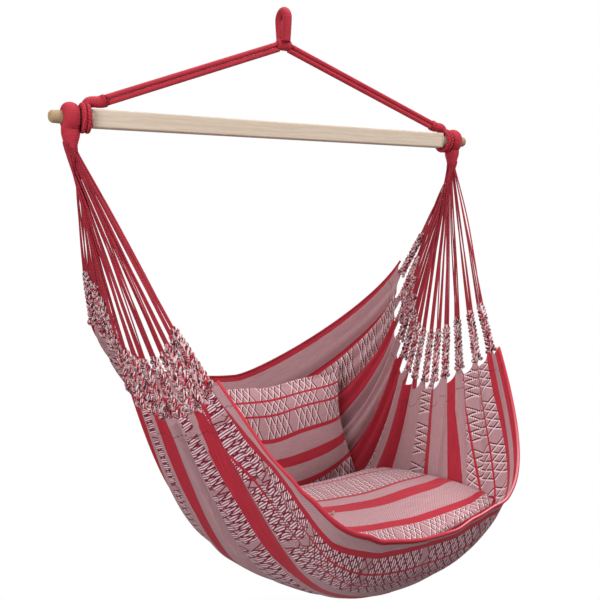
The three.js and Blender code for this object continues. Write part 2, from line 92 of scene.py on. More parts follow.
def whiteToCamera(tree, shader, output, shadowShare=None):
    # what the camera, gloss and glass see is plain white; the light itself stays soft
    path = addNode(tree, "ShaderNodeLightPath", (-600, 300))
    either = addNode(tree, "ShaderNodeMath", (-400, 300), operation="MAXIMUM")
    seen = addNode(tree, "ShaderNodeMath", (-200, 300), operation="MAXIMUM")
    link(tree, path.outputs["Is Camera Ray"], either.inputs[0])
    link(tree, path.outputs["Is Glossy Ray"], either.inputs[1])
    link(tree, either.outputs[0], seen.inputs[0])
    link(tree, path.outputs["Is Transmission Ray"], seen.inputs[1])
    kind = "ShaderNodeBackground" if output.bl_idname == "ShaderNodeOutputWorld" else "ShaderNodeEmission"
    white = addNode(tree, kind, (-200, 0))
    white.inputs["Color"].default_value = (1, 1, 1, 1)
    white.inputs["Strength"].default_value = 1.0
    mix = addNode(tree, "ShaderNodeMixShader", (200, 100))
    share = seen.outputs[0]
    if shadowShare is not None:
        kept = addNode(tree, "ShaderNodeMath", (0, 300), operation="MULTIPLY")
        link(tree, share, kept.inputs[0])
        link(tree, shadowShare, kept.inputs[1])
        share = kept.outputs[0]
    link(tree, share, mix.inputs[0])
    link(tree, shader.outputs[0], mix.inputs[1])
    link(tree, white.outputs[0], mix.inputs[2])
    link(tree, mix.outputs[0], output.inputs["Surface"])


lightSet = {
    "worldStrength": 0.15,
    "lamps": [
        # name, place, aim, size, power
        ("keyBox", (1.7, -2.2, 1.6), (0, -0.1, -0.8), 1.1, 86),
        ("fillBox", (-2.3, -1.5, 0.0), (0, -0.1, -0.8), 1.3, 54),
        ("topBox", (0.1, 0.3, 1.9), (0, -0.1, -0.8), 1.2, 42),
        ("backBox", (0.6, 2.5, 0.4), (0, 0.2, -0.8), 1.3, 30),
    ],
    "floorDrop": 0.42,
    "floorColor": (0.24, 0.24, 0.24, 1),
    "shadowFade": (("From Min", 0.1), ("From Max", 0.62), ("To Min", 0.72), ("To Max", 1.0)),
}
floorLevel = cadLow.z - lightSet["floorDrop"]
world = bpy.data.worlds.new("studio")
bpy.context.scene.world = world
world.use_nodes = True
worldTree = world.node_tree
worldTree.nodes.clear()
softSky = addNode(worldTree, "ShaderNodeBackground", (-200, -200))
softSky.inputs["Color"].default_value = (1, 1, 1, 1)
softSky.inputs["Strength"].default_value = lightSet["worldStrength"]
whiteToCamera(worldTree, softSky, addNode(worldTree, "ShaderNodeOutputWorld", (400, 0)))
for name, place, aim, size, power in lightSet["lamps"]:
    lampData = bpy.data.lights.new(name, "AREA")
    lampData.shape = "SQUARE"
    lampData.size = size
    lampData.energy = power
    lamp = bpy.data.objects.new(name, lampData)
    lamp.location = place
    lamp.rotation_euler = (Vector(aim) - Vector(place)).to_track_quat("-Z", "Y").to_euler()
    bpy.context.scene.collection.objects.link(lamp)

floorMesh = bpy.data.meshes.new("floor")
floorShape = bmesh.new()
bmesh.ops.create_grid(floorShape, x_segments=1, y_segments=1, size=6)
bmesh.ops.translate(floorShape, verts=floorShape.verts, vec=(0, 0, floorLevel))
floorShape.to_mesh(floorMesh)
floorShape.free()
floor = bpy.data.objects.new("floor", floorMesh)
bpy.context.scene.collection.objects.link(floor)
floorFinish = bpy.data.materials.new("paleFloor")
floorFinish.use_nodes = True
floorTree = floorFinish.node_tree
floorTree.nodes.clear()
floorDiffuse = addNode(floorTree, "ShaderNodeBsdfDiffuse", (-200, -200))
floorDiffuse.inputs["Color"].default_value = lightSet["floorColor"]
# right under the chair a share of the floor's own shade, with the shadow, is kept
floorPlace = addNode(floorTree, "ShaderNodeTexCoord", (-1000, -100))
fromCentre = addNode(floorTree, "ShaderNodeVectorMath", (-800, -100), operation="DISTANCE")
fromCentre.inputs[1].default_value = (0, 0, floorLevel)
link(floorTree, floorPlace.outputs["Object"], fromCentre.inputs[0])
whiteShare = addNode(floorTree, "ShaderNodeMapRange", (-600, -100))
for label, value in lightSet["shadowFade"]:
    whiteShare.inputs[label].default_value = value
link(floorTree, fromCentre.outputs["Value"], whiteShare.inputs["Value"])
whiteToCamera(floorTree, floorDiffuse, addNode(floorTree, "ShaderNodeOutputMaterial", (400, 0)),
              shadowShare=whiteShare.outputs["Result"])
floorMesh.materials.append(floorFinish)
print("camera, floor and light made")

# ------- shader groups


class Sockets:
    # short hand for wiring nodes of one tree
    def __init__(self, tree):
        self.tree = tree
        self.column = 0

    def put(self, kind, **values):
        self.column += 1
        return addNode(self.tree, kind, (180 * (self.column % 12), -160 * (self.column // 12)), **values)

    def feed(self, socket, value):
        if isinstance(value, bpy.types.NodeSocket):
            link(self.tree, value, socket)
        elif value is not None:
            socket.default_value = value

    def math(self, operation, first, second=None, third=None, clamp=False):
        node = self.put("ShaderNodeMath", operation=operation, use_clamp=clamp)
        for socket, value in zip(node.inputs, (first, second, third)):
            self.feed(socket, value)
        return node.outputs[0]

    def times(self, *values):
        return self.math("MULTIPLY", *values)

    def plus(self, *values, **extra):
        return self.math("ADD", *values, **extra)

    def minus(self, *values):
        return self.math("SUBTRACT", *values)

    def over(self, *values):
        return self.math("DIVIDE", *values)

    def above(self, *values):
        return self.math("GREATER_THAN", *values)

    def below(self, *values):
        return self.math("LESS_THAN", *values)

    def near(self, value, middle, reach):
        # 1 where the value lies within reach of the middle
        return self.below(self.math("ABSOLUTE", self.minus(value, middle)), reach)

    def mix(self, share, first, second):
        node = self.put("ShaderNodeMix", data_type="RGBA")
        self.feed(node.inputs["Factor"], share)
        self.feed(node.inputs["A"], first)
        self.feed(node.inputs["B"], second)
        return node.outputs["Result"]

    def split(self, vector):
        node = self.put("ShaderNodeSeparateXYZ")
        self.feed(node.inputs[0], vector)
        return node.outputs

    def join(self, x, y, z=0.0):
        node = self.put("ShaderNodeCombineXYZ")
        for socket, value in zip(node.inputs, (x, y, z)):
            self.feed(socket, value)
        return node.outputs[0]

    def noise(self, vector, scale, detail=2.0, rough=0.5):
        node = self.put("ShaderNodeTexNoise")
        self.feed(node.inputs["Vector"], vector)
        node.inputs["Scale"].default_value = scale
        node.inputs["Detail"].default_value = detail
        node.inputs["Roughness"].default_value = rough
        return node.outputs["Fac"]

    def ramp(self, share, stops, mode="LINEAR"):
        node = self.put("ShaderNodeValToRGB")
        node.color_ramp.interpolation = mode
        while len(node.color_ramp.elements) > 1:
            node.color_ramp.elements.remove(node.color_ramp.elements[-1])
        for index, (place, color) in enumerate(stops):
            element = node.color_ramp.elements[0] if index == 0 else node.color_ramp.elements.new(place)
            element.position = place
            element.color = color if len(color) == 4 else (*color, 1)
        self.feed(node.inputs[0], share)
        return node.outputs["Color"]

    def range(self, value, low, high, toLow=0.0, toHigh=1.0):
        node = self.put("ShaderNodeMapRange")
        for name, given in (("Value", value), ("From Min", low), ("From Max", high),
                            ("To Min", toLow), ("To Max", toHigh)):
            self.feed(node.inputs[name], given)
        return node.outputs["Result"]

    def wave(self, value):
        # 0 to 1 and back once for each whole number
        return self.math("MULTIPLY_ADD", self.math("COSINE", self.times(value, 2 * math.pi)), -0.5, 0.5)


def newGroup(name, inputs, outputs):
    # a group takes a place and numbers, and puts out numbers
    group = bpy.data.node_groups.new(name, "ShaderNodeTree")
    group.interface.new_socket("Place", in_out="INPUT", socket_type="NodeSocketVector")
    for label, value in inputs.items():
        socket = group.interface.new_socket(label, in_out="INPUT", socket_type="NodeSocketFloat")
        socket.default_value = value
    for label in outputs:
        group.interface.new_socket(label, in_out="OUTPUT", socket_type="NodeSocketFloat")
    sockets = Sockets(group)
    ins = addNode(group, "NodeGroupInput", (-400, 0))
    outs = addNode(group, "NodeGroupOutput", (2600, 0))
    return group, sockets, ins.outputs, outs.inputs


def makeWeaveGroup():
    # plain weave with a fine twill: warp runs along X, weft along Y of the given place in metres
    group, s, ins, outs = newGroup("weave", {"Threads": 620.0, "Twill": 0.5}, ("Shade", "Height", "Streak"))
    x, y, _ = s.split(ins["Place"])
    across = s.times(x, ins["Threads"])
    along = s.times(y, ins["Threads"])
    warp = s.wave(along)
    weft = s.wave(across)
    grid = s.times(s.plus(warp, weft), 0.5)
    diagonal = s.wave(s.times(s.plus(s.times(across, 0.42),
                                                  s.times(along, 0.33)), 0.85))
    streak = s.noise(s.join(s.times(x, 18.0), s.times(y, 900.0)), 1.0, 2.0)
    slub = s.noise(s.join(s.times(x, 60.0), s.times(y, 1400.0)), 1.0, 1.0)
    twilled = s.times(s.minus(diagonal, 0.5), ins["Twill"])
    # partly painted shade: where the weave's grid lies low it is painted darker; the twill and the slubs are the
    # yarn's own tone
    shade = s.plus(s.plus(s.times(s.minus(grid, 0.5), 0.25), twilled),
                   s.times(s.minus(slub, 0.5), 0.7))
    link(group, shade, outs["Shade"])
    link(group, s.plus(grid, s.times(slub, 0.4)), outs["Height"])
    link(group, streak, outs["Streak"])
    return group


latticeSet = {
    "lines": 5.0, "keptLines": 4.0, "lineAt": 0.40, "rimAt": 0.57, "halfLine": 0.085,
    "dashPitch": 0.16, "dashLevel": 0.25, "barPitch": 0.0052, "barLevel": 0.42, "barGap": 0.09,
    "zoneCells": 1.5, "zoneLevel": 0.04,
}


def makeLatticeGroup():
    # the woven figure of a patterned band: X runs along it in metres, Y from -1 to 1 across it
    group, s, ins, outs = newGroup("lattice", {"Cell": 0.034, "Slope": 0.15, "Dense": 0.0}, ("Pale", "Dark"))
    x, y, _ = s.split(ins["Place"])
    u = s.over(x, ins["Cell"])
    lean = s.times(y, ins["Slope"])
    wave = s.wave(s.over(x, latticeSet["barPitch"]))
    dash = s.above(s.wave(s.over(y, latticeSet["dashPitch"])), latticeSet["dashLevel"])
    lines, rims, offs = [], [], []
    for sign in (1.0, -1.0):
        # four lines lie side by side in each cell, and the fifth is left out
        place = s.times(s.math("FRACT", s.math("MULTIPLY_ADD", lean, sign, u)), latticeSet["lines"])
        off = s.math("ABSOLUTE", s.minus(s.math("FRACT", place), latticeSet["lineAt"]))
        beside = s.math("ABSOLUTE", s.minus(s.math("FRACT", place), latticeSet["rimAt"]))
        kept = s.below(place, latticeSet["keptLines"])
        lines.append(s.times(s.below(off, latticeSet["halfLine"]), kept))
        rims.append(s.times(s.below(beside, latticeSet["halfLine"]), kept))
        offs.append(off)
    pale, dark = s.math("MAXIMUM", *lines), s.math("MAXIMUM", *rims)
    # on the cloth's other face the floats lie close as bars, and plainer stretches lie between them
    stretch = s.wave(s.over(x, s.times(ins["Cell"], latticeSet["zoneCells"])))
    zone = s.above(stretch, latticeSet["zoneLevel"])
    bars = s.times(s.times(s.above(wave, latticeSet["barLevel"]), zone),
                  s.above(s.math("MINIMUM", *offs), latticeSet["barGap"]))
    sewn = s.times(pale, dash)
    link(group, s.plus(s.times(sewn, s.minus(1.0, ins["Dense"])),
                       s.times(bars, ins["Dense"])), outs["Pale"])
    link(group, s.math("MAXIMUM", dark, s.times(ins["Dense"], zone)), outs["Dark"])
    return group


def makeFibreGroup():
    # twisted yarn laid round a cord: X is the distance along it, Y round it, in metres
    group, s, ins, outs = newGroup("layOfYarn", {"Pitch": 0.012, "Slope": 1.0, "Threads": 900.0}, ("Shade", "Height"))
    x, y, _ = s.split(ins["Place"])
    diagonal = s.plus(x, s.times(y, ins["Slope"]))
    ply = s.wave(s.over(diagonal, ins["Pitch"]))
    thread = s.wave(s.times(s.minus(s.times(x, 0.5), y), ins["Threads"]))
    fuzz = s.noise(ins["Place"], 700.0, 3.0, 0.6)
    height = s.plus(s.times(ply, 0.8), s.times(thread, 0.18))
    link(group, s.plus(height, s.times(fuzz, 0.25)), outs["Height"])
    # painted shade: where the plies dip into their grooves the shade is lower, so the grooves are painted darker; the
    # fuzz is the yarn's own tone
    shade = s.plus(s.times(ply, 0.6), s.times(fuzz, 0.4))
    link(group, shade, outs["Shade"])
    return group


weaveGroup = makeWeaveGroup()
latticeGroup = makeLatticeGroup()
fibreGroup = makeFibreGroup()


def linear(r, g, b):
    # a colour read as 0 to 255 becomes the shader's own
    return tuple(((c / 255) / 12.92 if c / 255 <= 0.04045 else ((c / 255 + 0.055) / 1.055) ** 2.4)
                 for c in (r, g, b)) + (1.0,)


yarn = {
    "red": linear(190, 48, 64),
    "redDeep": linear(146, 28, 44),
    "maroon": linear(86, 14, 34),
    "mauve": linear(196, 158, 160),
    "mauveDark": linear(154, 108, 116),
    "cream": linear(236, 216, 217),
    "slate": linear(62, 40, 52),
    "wood": linear(212, 197, 180),
    "woodDark": linear(190, 168, 146),
    "spigotTanAndShade": linear(158, 128, 88),
    "string": linear(176, 42, 58),
    "stringDeep": linear(116, 20, 36),
    "figureLine": linear(98, 22, 42),
    "outerLine": linear(118, 24, 48),
    "outerPale": linear(226, 202, 206),
    "paintedEdgeHighlight": linear(226, 150, 158),
    "zip": linear(206, 170, 142),
    "zipDeep": linear(150, 112, 90),
}


def newFinish(name, roughness, sheen=0.05):
    material = bpy.data.materials.new(name)
    material.use_nodes = True
    tree = material.node_tree
    shader = tree.nodes["Principled BSDF"]
    shader.inputs["Roughness"].default_value = roughness
    shader.inputs["Specular IOR Level"].default_value = 0.25
    shader.inputs["Sheen Weight"].default_value = sheen
    shader.inputs["Sheen Roughness"].default_value = 0.5
    return material, Sockets(tree), shader


def putGroup(s, group, **values):
    node = s.put("ShaderNodeGroup", node_tree=group)
    for name, value in values.items():
        s.feed(node.inputs[name], value)
    return node.outputs


def dress(s, shader, color, height, strength, distance, rough=None):
    link(s.tree, color, shader.inputs["Base Color"])
    s.feed(shader.inputs["Roughness"], rough)
    bump = s.put("ShaderNodeBump")
    bump.inputs["Strength"].default_value = strength
    bump.inputs["Distance"].default_value = distance
    s.feed(bump.inputs["Height"], height)
    link(s.tree, bump.outputs["Normal"], shader.inputs["Normal"])


def makeCordFinish(name, light, dark, pitch, slope, strength=0.5, distance=0.0006):
    material, s, shader = newFinish(name, 0.75)
    place = s.put("ShaderNodeUVMap", uv_map="UVMap").outputs[0]
    lay = putGroup(s, fibreGroup, Place=place, Pitch=pitch, Slope=slope)
    tone = s.noise(s.put("ShaderNodeTexCoord").outputs["Object"], 26.0, 2.0)
    # the dark colour lies in the grooves between the plies as painted shade; the noise tone is the yarn's own
    shade = s.plus(s.times(lay["Shade"], 0.75), s.times(tone, 0.5), clamp=True)
    color = s.mix(s.range(shade, 0.2, 0.95), dark, light)
    dress(s, shader, color, lay["Height"], strength, distance, s.range(lay["Shade"], 0.0, 1.0, 0.82, 0.64))
    return material


ropeFinish = makeCordFinish("twistedRope", yarn["red"], yarn["redDeep"], 0.006, 0.9, 0.6)
stringFinish = makeCordFinish("twistedString", yarn["string"], yarn["stringDeep"], 0.006, 1.1, 0.7, 0.0005)
servedFinish = makeCordFinish("servedYarn", yarn["red"], yarn["redDeep"], 0.0032, 0.04, 0.55, 0.0005)
edgeFinish = makeCordFinish("wovenEdge", yarn["red"], yarn["maroon"], 0.0045, 0.8, 0.6, 0.0005)


def makeStitchedEdge():
    # small pale stitches bind the front edge on the left; on the right the top of the edge is painted pale pink, a
    # painted highlight
    material, s, shader = newFinish("stitchedEdge", 0.75)
    x, y, _ = s.split(s.put("ShaderNodeUVMap", uv_map="UVMap").outputs[0])
    place, _, _ = s.split(s.put("ShaderNodeTexCoord").outputs["Object"])
    onTop = s.near(y, 0.0028, 0.0012)
    dots = s.times(s.above(s.wave(s.over(x, 0.0065)), 0.5), onTop)
    stitch = s.times(dots, s.range(place, -0.02, -0.12))
    # painted highlight: on the right half the top of the edge is painted pale pink
    highlightShare = s.times(s.near(y, 0.0056, 0.0024),
                    s.times(s.range(place, 0.04, 0.10), s.range(place, 0.33, 0.26)))
    color = s.mix(s.times(highlightShare, 0.75), yarn["red"], yarn["paintedEdgeHighlight"])
    color = s.mix(stitch, color, yarn["cream"])
    dress(s, shader, color, stitch, 0.5, 0.0005)
    return material


stitchedFinish = makeStitchedEdge()


def makePlaitFinish():
    # marled yarn: short flecks of the cloth's colours, slanting round each strand
    material, s, shader = newFinish("marledPlait", 0.85)
    place = s.put("ShaderNodeUVMap", uv_map="UVMap").outputs[0]
    x, y, _ = s.split(place)
    slant = s.plus(y, s.times(x, 0.45))
    lane = s.math("FLOOR", s.over(slant, 0.0019))
    stretch = s.math("FLOOR", s.plus(s.over(x, 0.0056), s.times(lane, 0.37)))
    pick = s.put("ShaderNodeTexWhiteNoise", noise_dimensions="3D")
    s.feed(pick.inputs["Vector"], s.join(lane, stretch))
    marl = s.ramp(pick.outputs["Value"], [(0.0, yarn["cream"]), (0.25, yarn["mauve"]), (0.42, yarn["red"]),
                                          (0.66, yarn["maroon"]), (0.88, yarn["slate"])], "CONSTANT")
    lay = putGroup(s, fibreGroup, Place=place, Pitch=0.0035, Slope=1.2, Threads=500.0)
    # painted shade: the marl is painted darker towards maroon in the grooves between the plies
    color = s.mix(s.range(lay["Shade"], 0.1, 0.8, 0.3, 0.0), marl, yarn["maroon"])
    dress(s, shader, color, lay["Height"], 0.6, 0.0006)
    return material


plaitFinish = makePlaitFinish()

# The cloth's stripes across its cut width, as shares from the front edge: m plain mauve, r red, p patterned
clothStripes = [
    (0.000, "r"), (0.014, "m"), (0.038, "r"), (0.053, "p"), (0.090, "r"), (0.096, "p"), (0.154, "r"),
    (0.160, "p"), (0.183, "m"), (0.206, "r"), (0.231, "m"), (0.305, "r"), (0.322, "p"), (0.390, "m"),
    (0.492, "r"), (0.571, "m"), (0.600, "p"), (0.626, "m"), (0.636, "r"), (0.703, "m"), (0.790, "r"),
    (0.846, "p"), (0.918, "r"), (0.931, "m"), (0.989, "r"),
]
seatStripes = [
    (0.000, "p"), (0.160, "r"), (0.175, "p"), (0.440, "r"), (0.462, "m"), (0.555, "r"), (0.655, "m"),
    (0.835, "r"), (0.885, "p"),
]
backStripes = [
    (0.000, "p"), (0.120, "r"), (0.136, "p"), (0.235, "r"), (0.251, "p"), (0.420, "r"), (0.455, "m"),
    (0.595, "r"), (0.675, "m"), (0.800, "r"), (0.845, "p"),
]
stripeKey = {"m": 0.0, "p": 0.5, "r": 1.0}


def stripeAt(s, share, stripes):
    # the stripe's code, its middle and its half width: a ramp for each quarter keeps the edges sharp
    found = None
    spans = [(at, end, stripeKey[kind]) for (at, kind), (end, _) in zip(stripes, stripes[1:] + [(1.0, None)])]
    for quarter in range(4):
        low, high = quarter / 4, (quarter + 1) / 4
        stops = [(max(at - low, 0) * 4, (kind, (at + end) / 2, (end - at) / 2))
                 for at, end, kind in spans if at < high and end > low]
        local = s.times(s.minus(share, low), 4.0)
        ramp = s.ramp(local, stops, "CONSTANT")
        found = ramp if found is None else s.mix(s.above(share, low), found, ramp)
    return s.split(found)


hemSet = {"inset": 0.045, "halfWidth": 0.0011, "stitch": 0.005}


def makeClothFinish(name, stripes, cell, slope, rowLength, dense=0.0, twill=0.35, hem=False):
    material, s, shader = newFinish(name, 0.88)
    place = s.put("ShaderNodeUVMap", uv_map="UVMap").outputs[0]
    x, share, _ = s.split(place)
    y = s.times(share, rowLength)
    weave = putGroup(s, weaveGroup, Place=s.join(x, y), Threads=620.0, Twill=twill)
    wobble = s.times(s.minus(s.noise(s.join(s.times(x, 40.0), y), 1.0), 0.5), 0.002)
    code, middle, half = stripeAt(s, s.plus(share, wobble), stripes)
    inBand = s.over(s.minus(share, middle), half)
    lattice = putGroup(s, latticeGroup, Place=s.join(x, inBand), Cell=cell, Slope=slope, Dense=dense)
    line = s.mix(dense, yarn["figureLine"], yarn["outerLine"])
    pale = s.mix(dense, yarn["cream"], yarn["outerPale"])
    patterned = s.times(s.above(code, 0.25), s.below(code, 0.75))
    reddish = s.above(code, 0.75)
    tone = s.range(s.plus(weave["Shade"], weave["Streak"]), 0.1, 0.95)
    mauve = s.mix(tone, yarn["mauveDark"], yarn["mauve"])
    red = s.mix(s.range(weave["Streak"], 0.2, 0.8), yarn["redDeep"], yarn["red"])
    color = s.mix(s.times(patterned, lattice["Dark"]), mauve, line)
    color = s.mix(s.times(patterned, lattice["Pale"]), color, pale)
    color = s.mix(reddish, color, red)
    height = s.plus(weave["Height"], s.times(s.times(patterned, lattice["Pale"]), 1.2))
    if hem:
        gap = s.put("ShaderNodeAttribute", attribute_name="endGap").outputs["Fac"]
        stitch = s.wave(s.over(y, hemSet["stitch"]))
        seam = s.near(gap, hemSet["inset"], hemSet["halfWidth"])
        sewn = s.times(seam, s.range(stitch, 0.1, 0.4))
        color = s.mix(s.times(sewn, 0.8), color, yarn["slate"])
        height = s.minus(height, s.times(seam, 2.5))
    dress(s, shader, color, height, 0.22, 0.0006, s.range(weave["Height"], 0.0, 1.4, 0.95, 0.8))
    return material


slingFinish = makeClothFinish("stripedCloth", clothStripes, 0.100, 0.1, 1.17, hem=True)
slingOuter = makeClothFinish("stripedClothOutside", clothStripes, 0.090, 0.12, 1.17, 1.0, hem=True)
seatFinish = makeClothFinish("stripedSeatCover", seatStripes, 0.066, 0.2, 0.5, twill=0.6)
backFinish = makeClothFinish("stripedBackCover", backStripes, 0.098, 0.1, 0.4, twill=0.6)


def makeWoodFinish():
    material, s, shader = newFinish("paleWood", 0.55, sheen=0.0)
    at = s.put("ShaderNodeTexCoord").outputs["Object"]
    x, y, z = s.split(at)
    long = s.join(s.times(x, 3.0), s.times(y, 42.0), s.times(z, 42.0))
    rings = s.noise(long, 2.2, 3.0, 0.55)
    growth = s.wave(s.plus(s.times(z, 95.0), s.times(rings, 2.4)))
    pores = s.noise(s.join(s.times(x, 40.0), s.times(y, 1400.0),
                           s.times(z, 1400.0)), 1.0, 2.0)
    grain = s.plus(s.times(growth, 0.22), s.times(pores, 0.75))
    color = s.mix(s.range(grain, 0.2, 0.9), yarn["wood"], yarn["woodDark"])
    # the whole spigot is painted a darker tan: partly the wood's own colour there, partly painted shade darker than
    # its lit centre
    spigotTanAndShadeShare = s.range(s.math("ABSOLUTE", s.minus(x, barCentre.x)), 0.466, 0.480)
    color = s.mix(s.times(spigotTanAndShadeShare, 0.85), color, yarn["spigotTanAndShade"])
    dress(s, shader, color, grain, 0.25, 0.0004, s.range(grain, 0.0, 1.0, 0.5, 0.68))
    return material


woodFinish = makeWoodFinish()
print("finishes made")

# ------- shared shapes


def finishPiece(name, shape, material, body, node=None):
    # a bmesh becomes a piece that rides on its body
    mesh = bpy.data.meshes.new(name)
    shape.to_mesh(mesh)
    shape.free()
    mesh.polygons.foreach_set("use_smooth", [True] * len(mesh.polygons))
    mesh.materials.append(material)
    piece = bpy.data.objects.new(name, mesh)
    bpy.context.scene.collection.objects.link(piece)
    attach(piece, body)
    if node:
        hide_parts(node)
    return piece


def smoothPath(points, steps):
    # points on a smooth curve through the given ones, evenly numbered
    points = [Vector(p) for p in points]
    padded = [2 * points[0] - points[1], *points, 2 * points[-1] - points[-2]]
    result = []
    spans = len(points) - 1
    for step in range(steps + 1):
        at = min(step / steps * spans, spans - 1e-9)
        k = int(at)
        t = at - k
        a, b, c, d = padded[k:k + 4]
        result.append(0.5 * ((2 * b) + (c - a) * t + (2 * a - 5 * b + 4 * c - d) * t * t
                             + (3 * b - a - 3 * c + d) * t * t * t))
    return result


def framesAlong(path, first, closed=False):
    # each place with two directions across the path, carried along without twist
    result = []
    cross = Vector(first)
    count = len(path)
    for i, point in enumerate(path):
        before = path[(i - 1) % count] if closed else path[max(i - 1, 0)]
        after = path[(i + 1) % count] if closed else path[min(i + 1, count - 1)]
        along = (after - before).normalized()
        cross = (cross - along * cross.dot(along)).normalized()
        result.append((point, cross, along.cross(cross)))
    return result


def mapUv(shape, change):
    # each corner's UV goes through the given change
    uv = shape.loops.layers.uv["UVMap"]
    for face in shape.faces:
        for loop in face.loops:
            loop[uv].uv = change(*loop[uv].uv)


def cellOf(vert, columns, rows):
    # a grid's vertex by its column and row
    return round((vert.co.x + 0.5) * columns), round((vert.co.y + 0.5) * rows)


def addTube(shape, path, radius, sides, first=(0, 1, 0), closed=False, lane=0.0):
    # one tube through a path's points; radius is a number or depends on the share along the path
    frames = framesAlong(path, first, closed)
    steps = len(path) if closed else len(path) - 1
    reach = [0.0]
    for i in range(steps):
        reach.append(reach[-1] + (path[(i + 1) % len(path)] - path[i]).length)
    tube = bmesh.new()
    tube.loops.layers.uv.new("UVMap")
    bmesh.ops.create_grid(tube, x_segments=steps, y_segments=sides, size=0.5, calc_uvs=True)
    thick = radius if callable(radius) else (lambda share: radius)
    around = 2 * math.pi * thick(0.5)
    mapUv(tube, lambda along, turn: (reach[round(along * steps)], lane + turn * around))
    for vert in tube.verts:
        i, j = cellOf(vert, steps, sides)
        turn = 2 * math.pi * j / sides
        point, one, two = frames[i % len(path)]
        wide = thick(i / steps)
        vert.co = point + one * (wide * math.cos(turn)) + two * (wide * math.sin(turn))
    bmesh.ops.remove_doubles(tube, verts=tube.verts, dist=1e-6)
    if not closed:
        rims = [edge for edge in tube.edges if edge.is_boundary]
        bmesh.ops.holes_fill(tube, edges=rims, sides=0)
    bmesh.ops.recalc_face_normals(tube, faces=tube.faces)
    joinShape(shape, tube)


def joinShape(shape, other):
    mesh = bpy.data.meshes.new("joined")
    other.to_mesh(mesh)
    other.free()
    shape.from_mesh(mesh)
    bpy.data.meshes.remove(mesh)


def addStrands(shape, path, coreRadius, strandRadius, strands, turn, sides, first, phase):
    # a laid rope: strands wound round the path, one turn in each given length
    frames = framesAlong(path, first)
    reach = 0.0
    places = [[] for _ in range(strands)]
    for i, (point, one, two) in enumerate(frames):
        if i:
            reach += (point - frames[i - 1][0]).length
        for k in range(strands):
            angle = 2 * math.pi * (reach / turn + k / strands) + phase
            places[k].append(point + one * (coreRadius * math.cos(angle)) + two * (coreRadius * math.sin(angle)))
    for strand in places:
        addTube(shape, strand, strandRadius, sides, first)


# ------- the sheet's form, as in the solid model

sheetSet = {"halfWidth": 0.343, "reach": 0.540, "drop": 1.050, "neckX": 0.5045, "neckZ": -0.106, "braids": 13}
rightEnd = [
    (0.00, 1.000, -0.654, 0.470), (0.15, 0.948, -0.500, 0.519), (0.30, 0.948, -0.315, 0.571),
    (0.45, 1.006, -0.130, 0.595), (0.60, 1.064, 0.037, 0.581), (0.75, 1.122, 0.139, 0.505),
    (0.88, 1.195, 0.204, 0.419), (1.00, 1.283, 0.250, 0.314),
]
leftEnd = rightEnd[:5] + [(0.75, 1.122, 0.120, 0.505), (0.88, 1.195, 0.185, 0.448), (1.00, 1.283, 0.250, 0.410)]
middleLine = [
    (0.00, -1.000, 0.758, 0.618, 0.352), (0.07, -0.926, 0.840, 0.641, 0.345), (0.20, -0.741, 0.917, 0.510, 0.330),
    (0.35, -0.439, 0.976, 0.466, 0.324), (0.50, -0.065, 1.000, 0.583, 0.324), (0.65, 0.246, 0.955, 0.598, 0.310),
    (0.82, 0.444, 0.815, 0.437, 0.250), (1.00, 0.572, 0.617, 0.219, 0.171),
]


def between(table, share):
    last = len(table) - 1
    row = 0
    while row < last - 1 and share > table[row + 1][0]:
        row += 1

    def slope(index):
        before, after = table[max(index - 1, 0)], table[min(index + 1, last)]
        return (np.array(after[1:]) - before[1:]) / (after[0] - before[0])

    step = table[row + 1][0] - table[row][0]
    t = (share - table[row][0]) / step
    return ((2 * t ** 3 - 3 * t ** 2 + 1) * np.array(table[row][1:])
            + (t ** 3 - 2 * t ** 2 + t) * step * slope(row)
            + (3 * t ** 2 - 2 * t ** 3) * np.array(table[row + 1][1:])
            + (t ** 3 - t ** 2) * step * slope(row + 1))


def neckPoint(side):
    return chairPoint(side * sheetSet["neckX"], 0, sheetSet["neckZ"])


def endPoint(side, row):
    out, fore, drop = between(rightEnd if side > 0 else leftEnd, row)
    return chairPoint(side * out * sheetSet["halfWidth"], fore * sheetSet["reach"], -drop * sheetSet["drop"])


def sheetPoint(across, row):
    side = -1 if across < 0 else 1
    t = abs(across)
    fore, drop, level, pull = between(middleLine, row)
    middle = chairPoint(0, fore * sheetSet["reach"], -drop * sheetSet["drop"])
    levelEnd = middle + Vector((side * level * sheetSet["halfWidth"], 0, 0))
    end = endPoint(side, row)
    pulled = end - (neckPoint(side) - end).normalized() * (pull * sheetSet["drop"])
    return ((1 - t) ** 3 * middle + 3 * t * (1 - t) ** 2 * levelEnd
            + 3 * t * t * (1 - t) * pulled + t ** 3 * end)


def sheetNormal(across, row, step=0.01):
    alongRow = sheetPoint(min(across + step, 1), row) - sheetPoint(max(across - step, -1), row)
    alongColumn = sheetPoint(across, min(row + step, 1)) - sheetPoint(across, max(row - step, 0))
    return alongRow.cross(alongColumn).normalized()


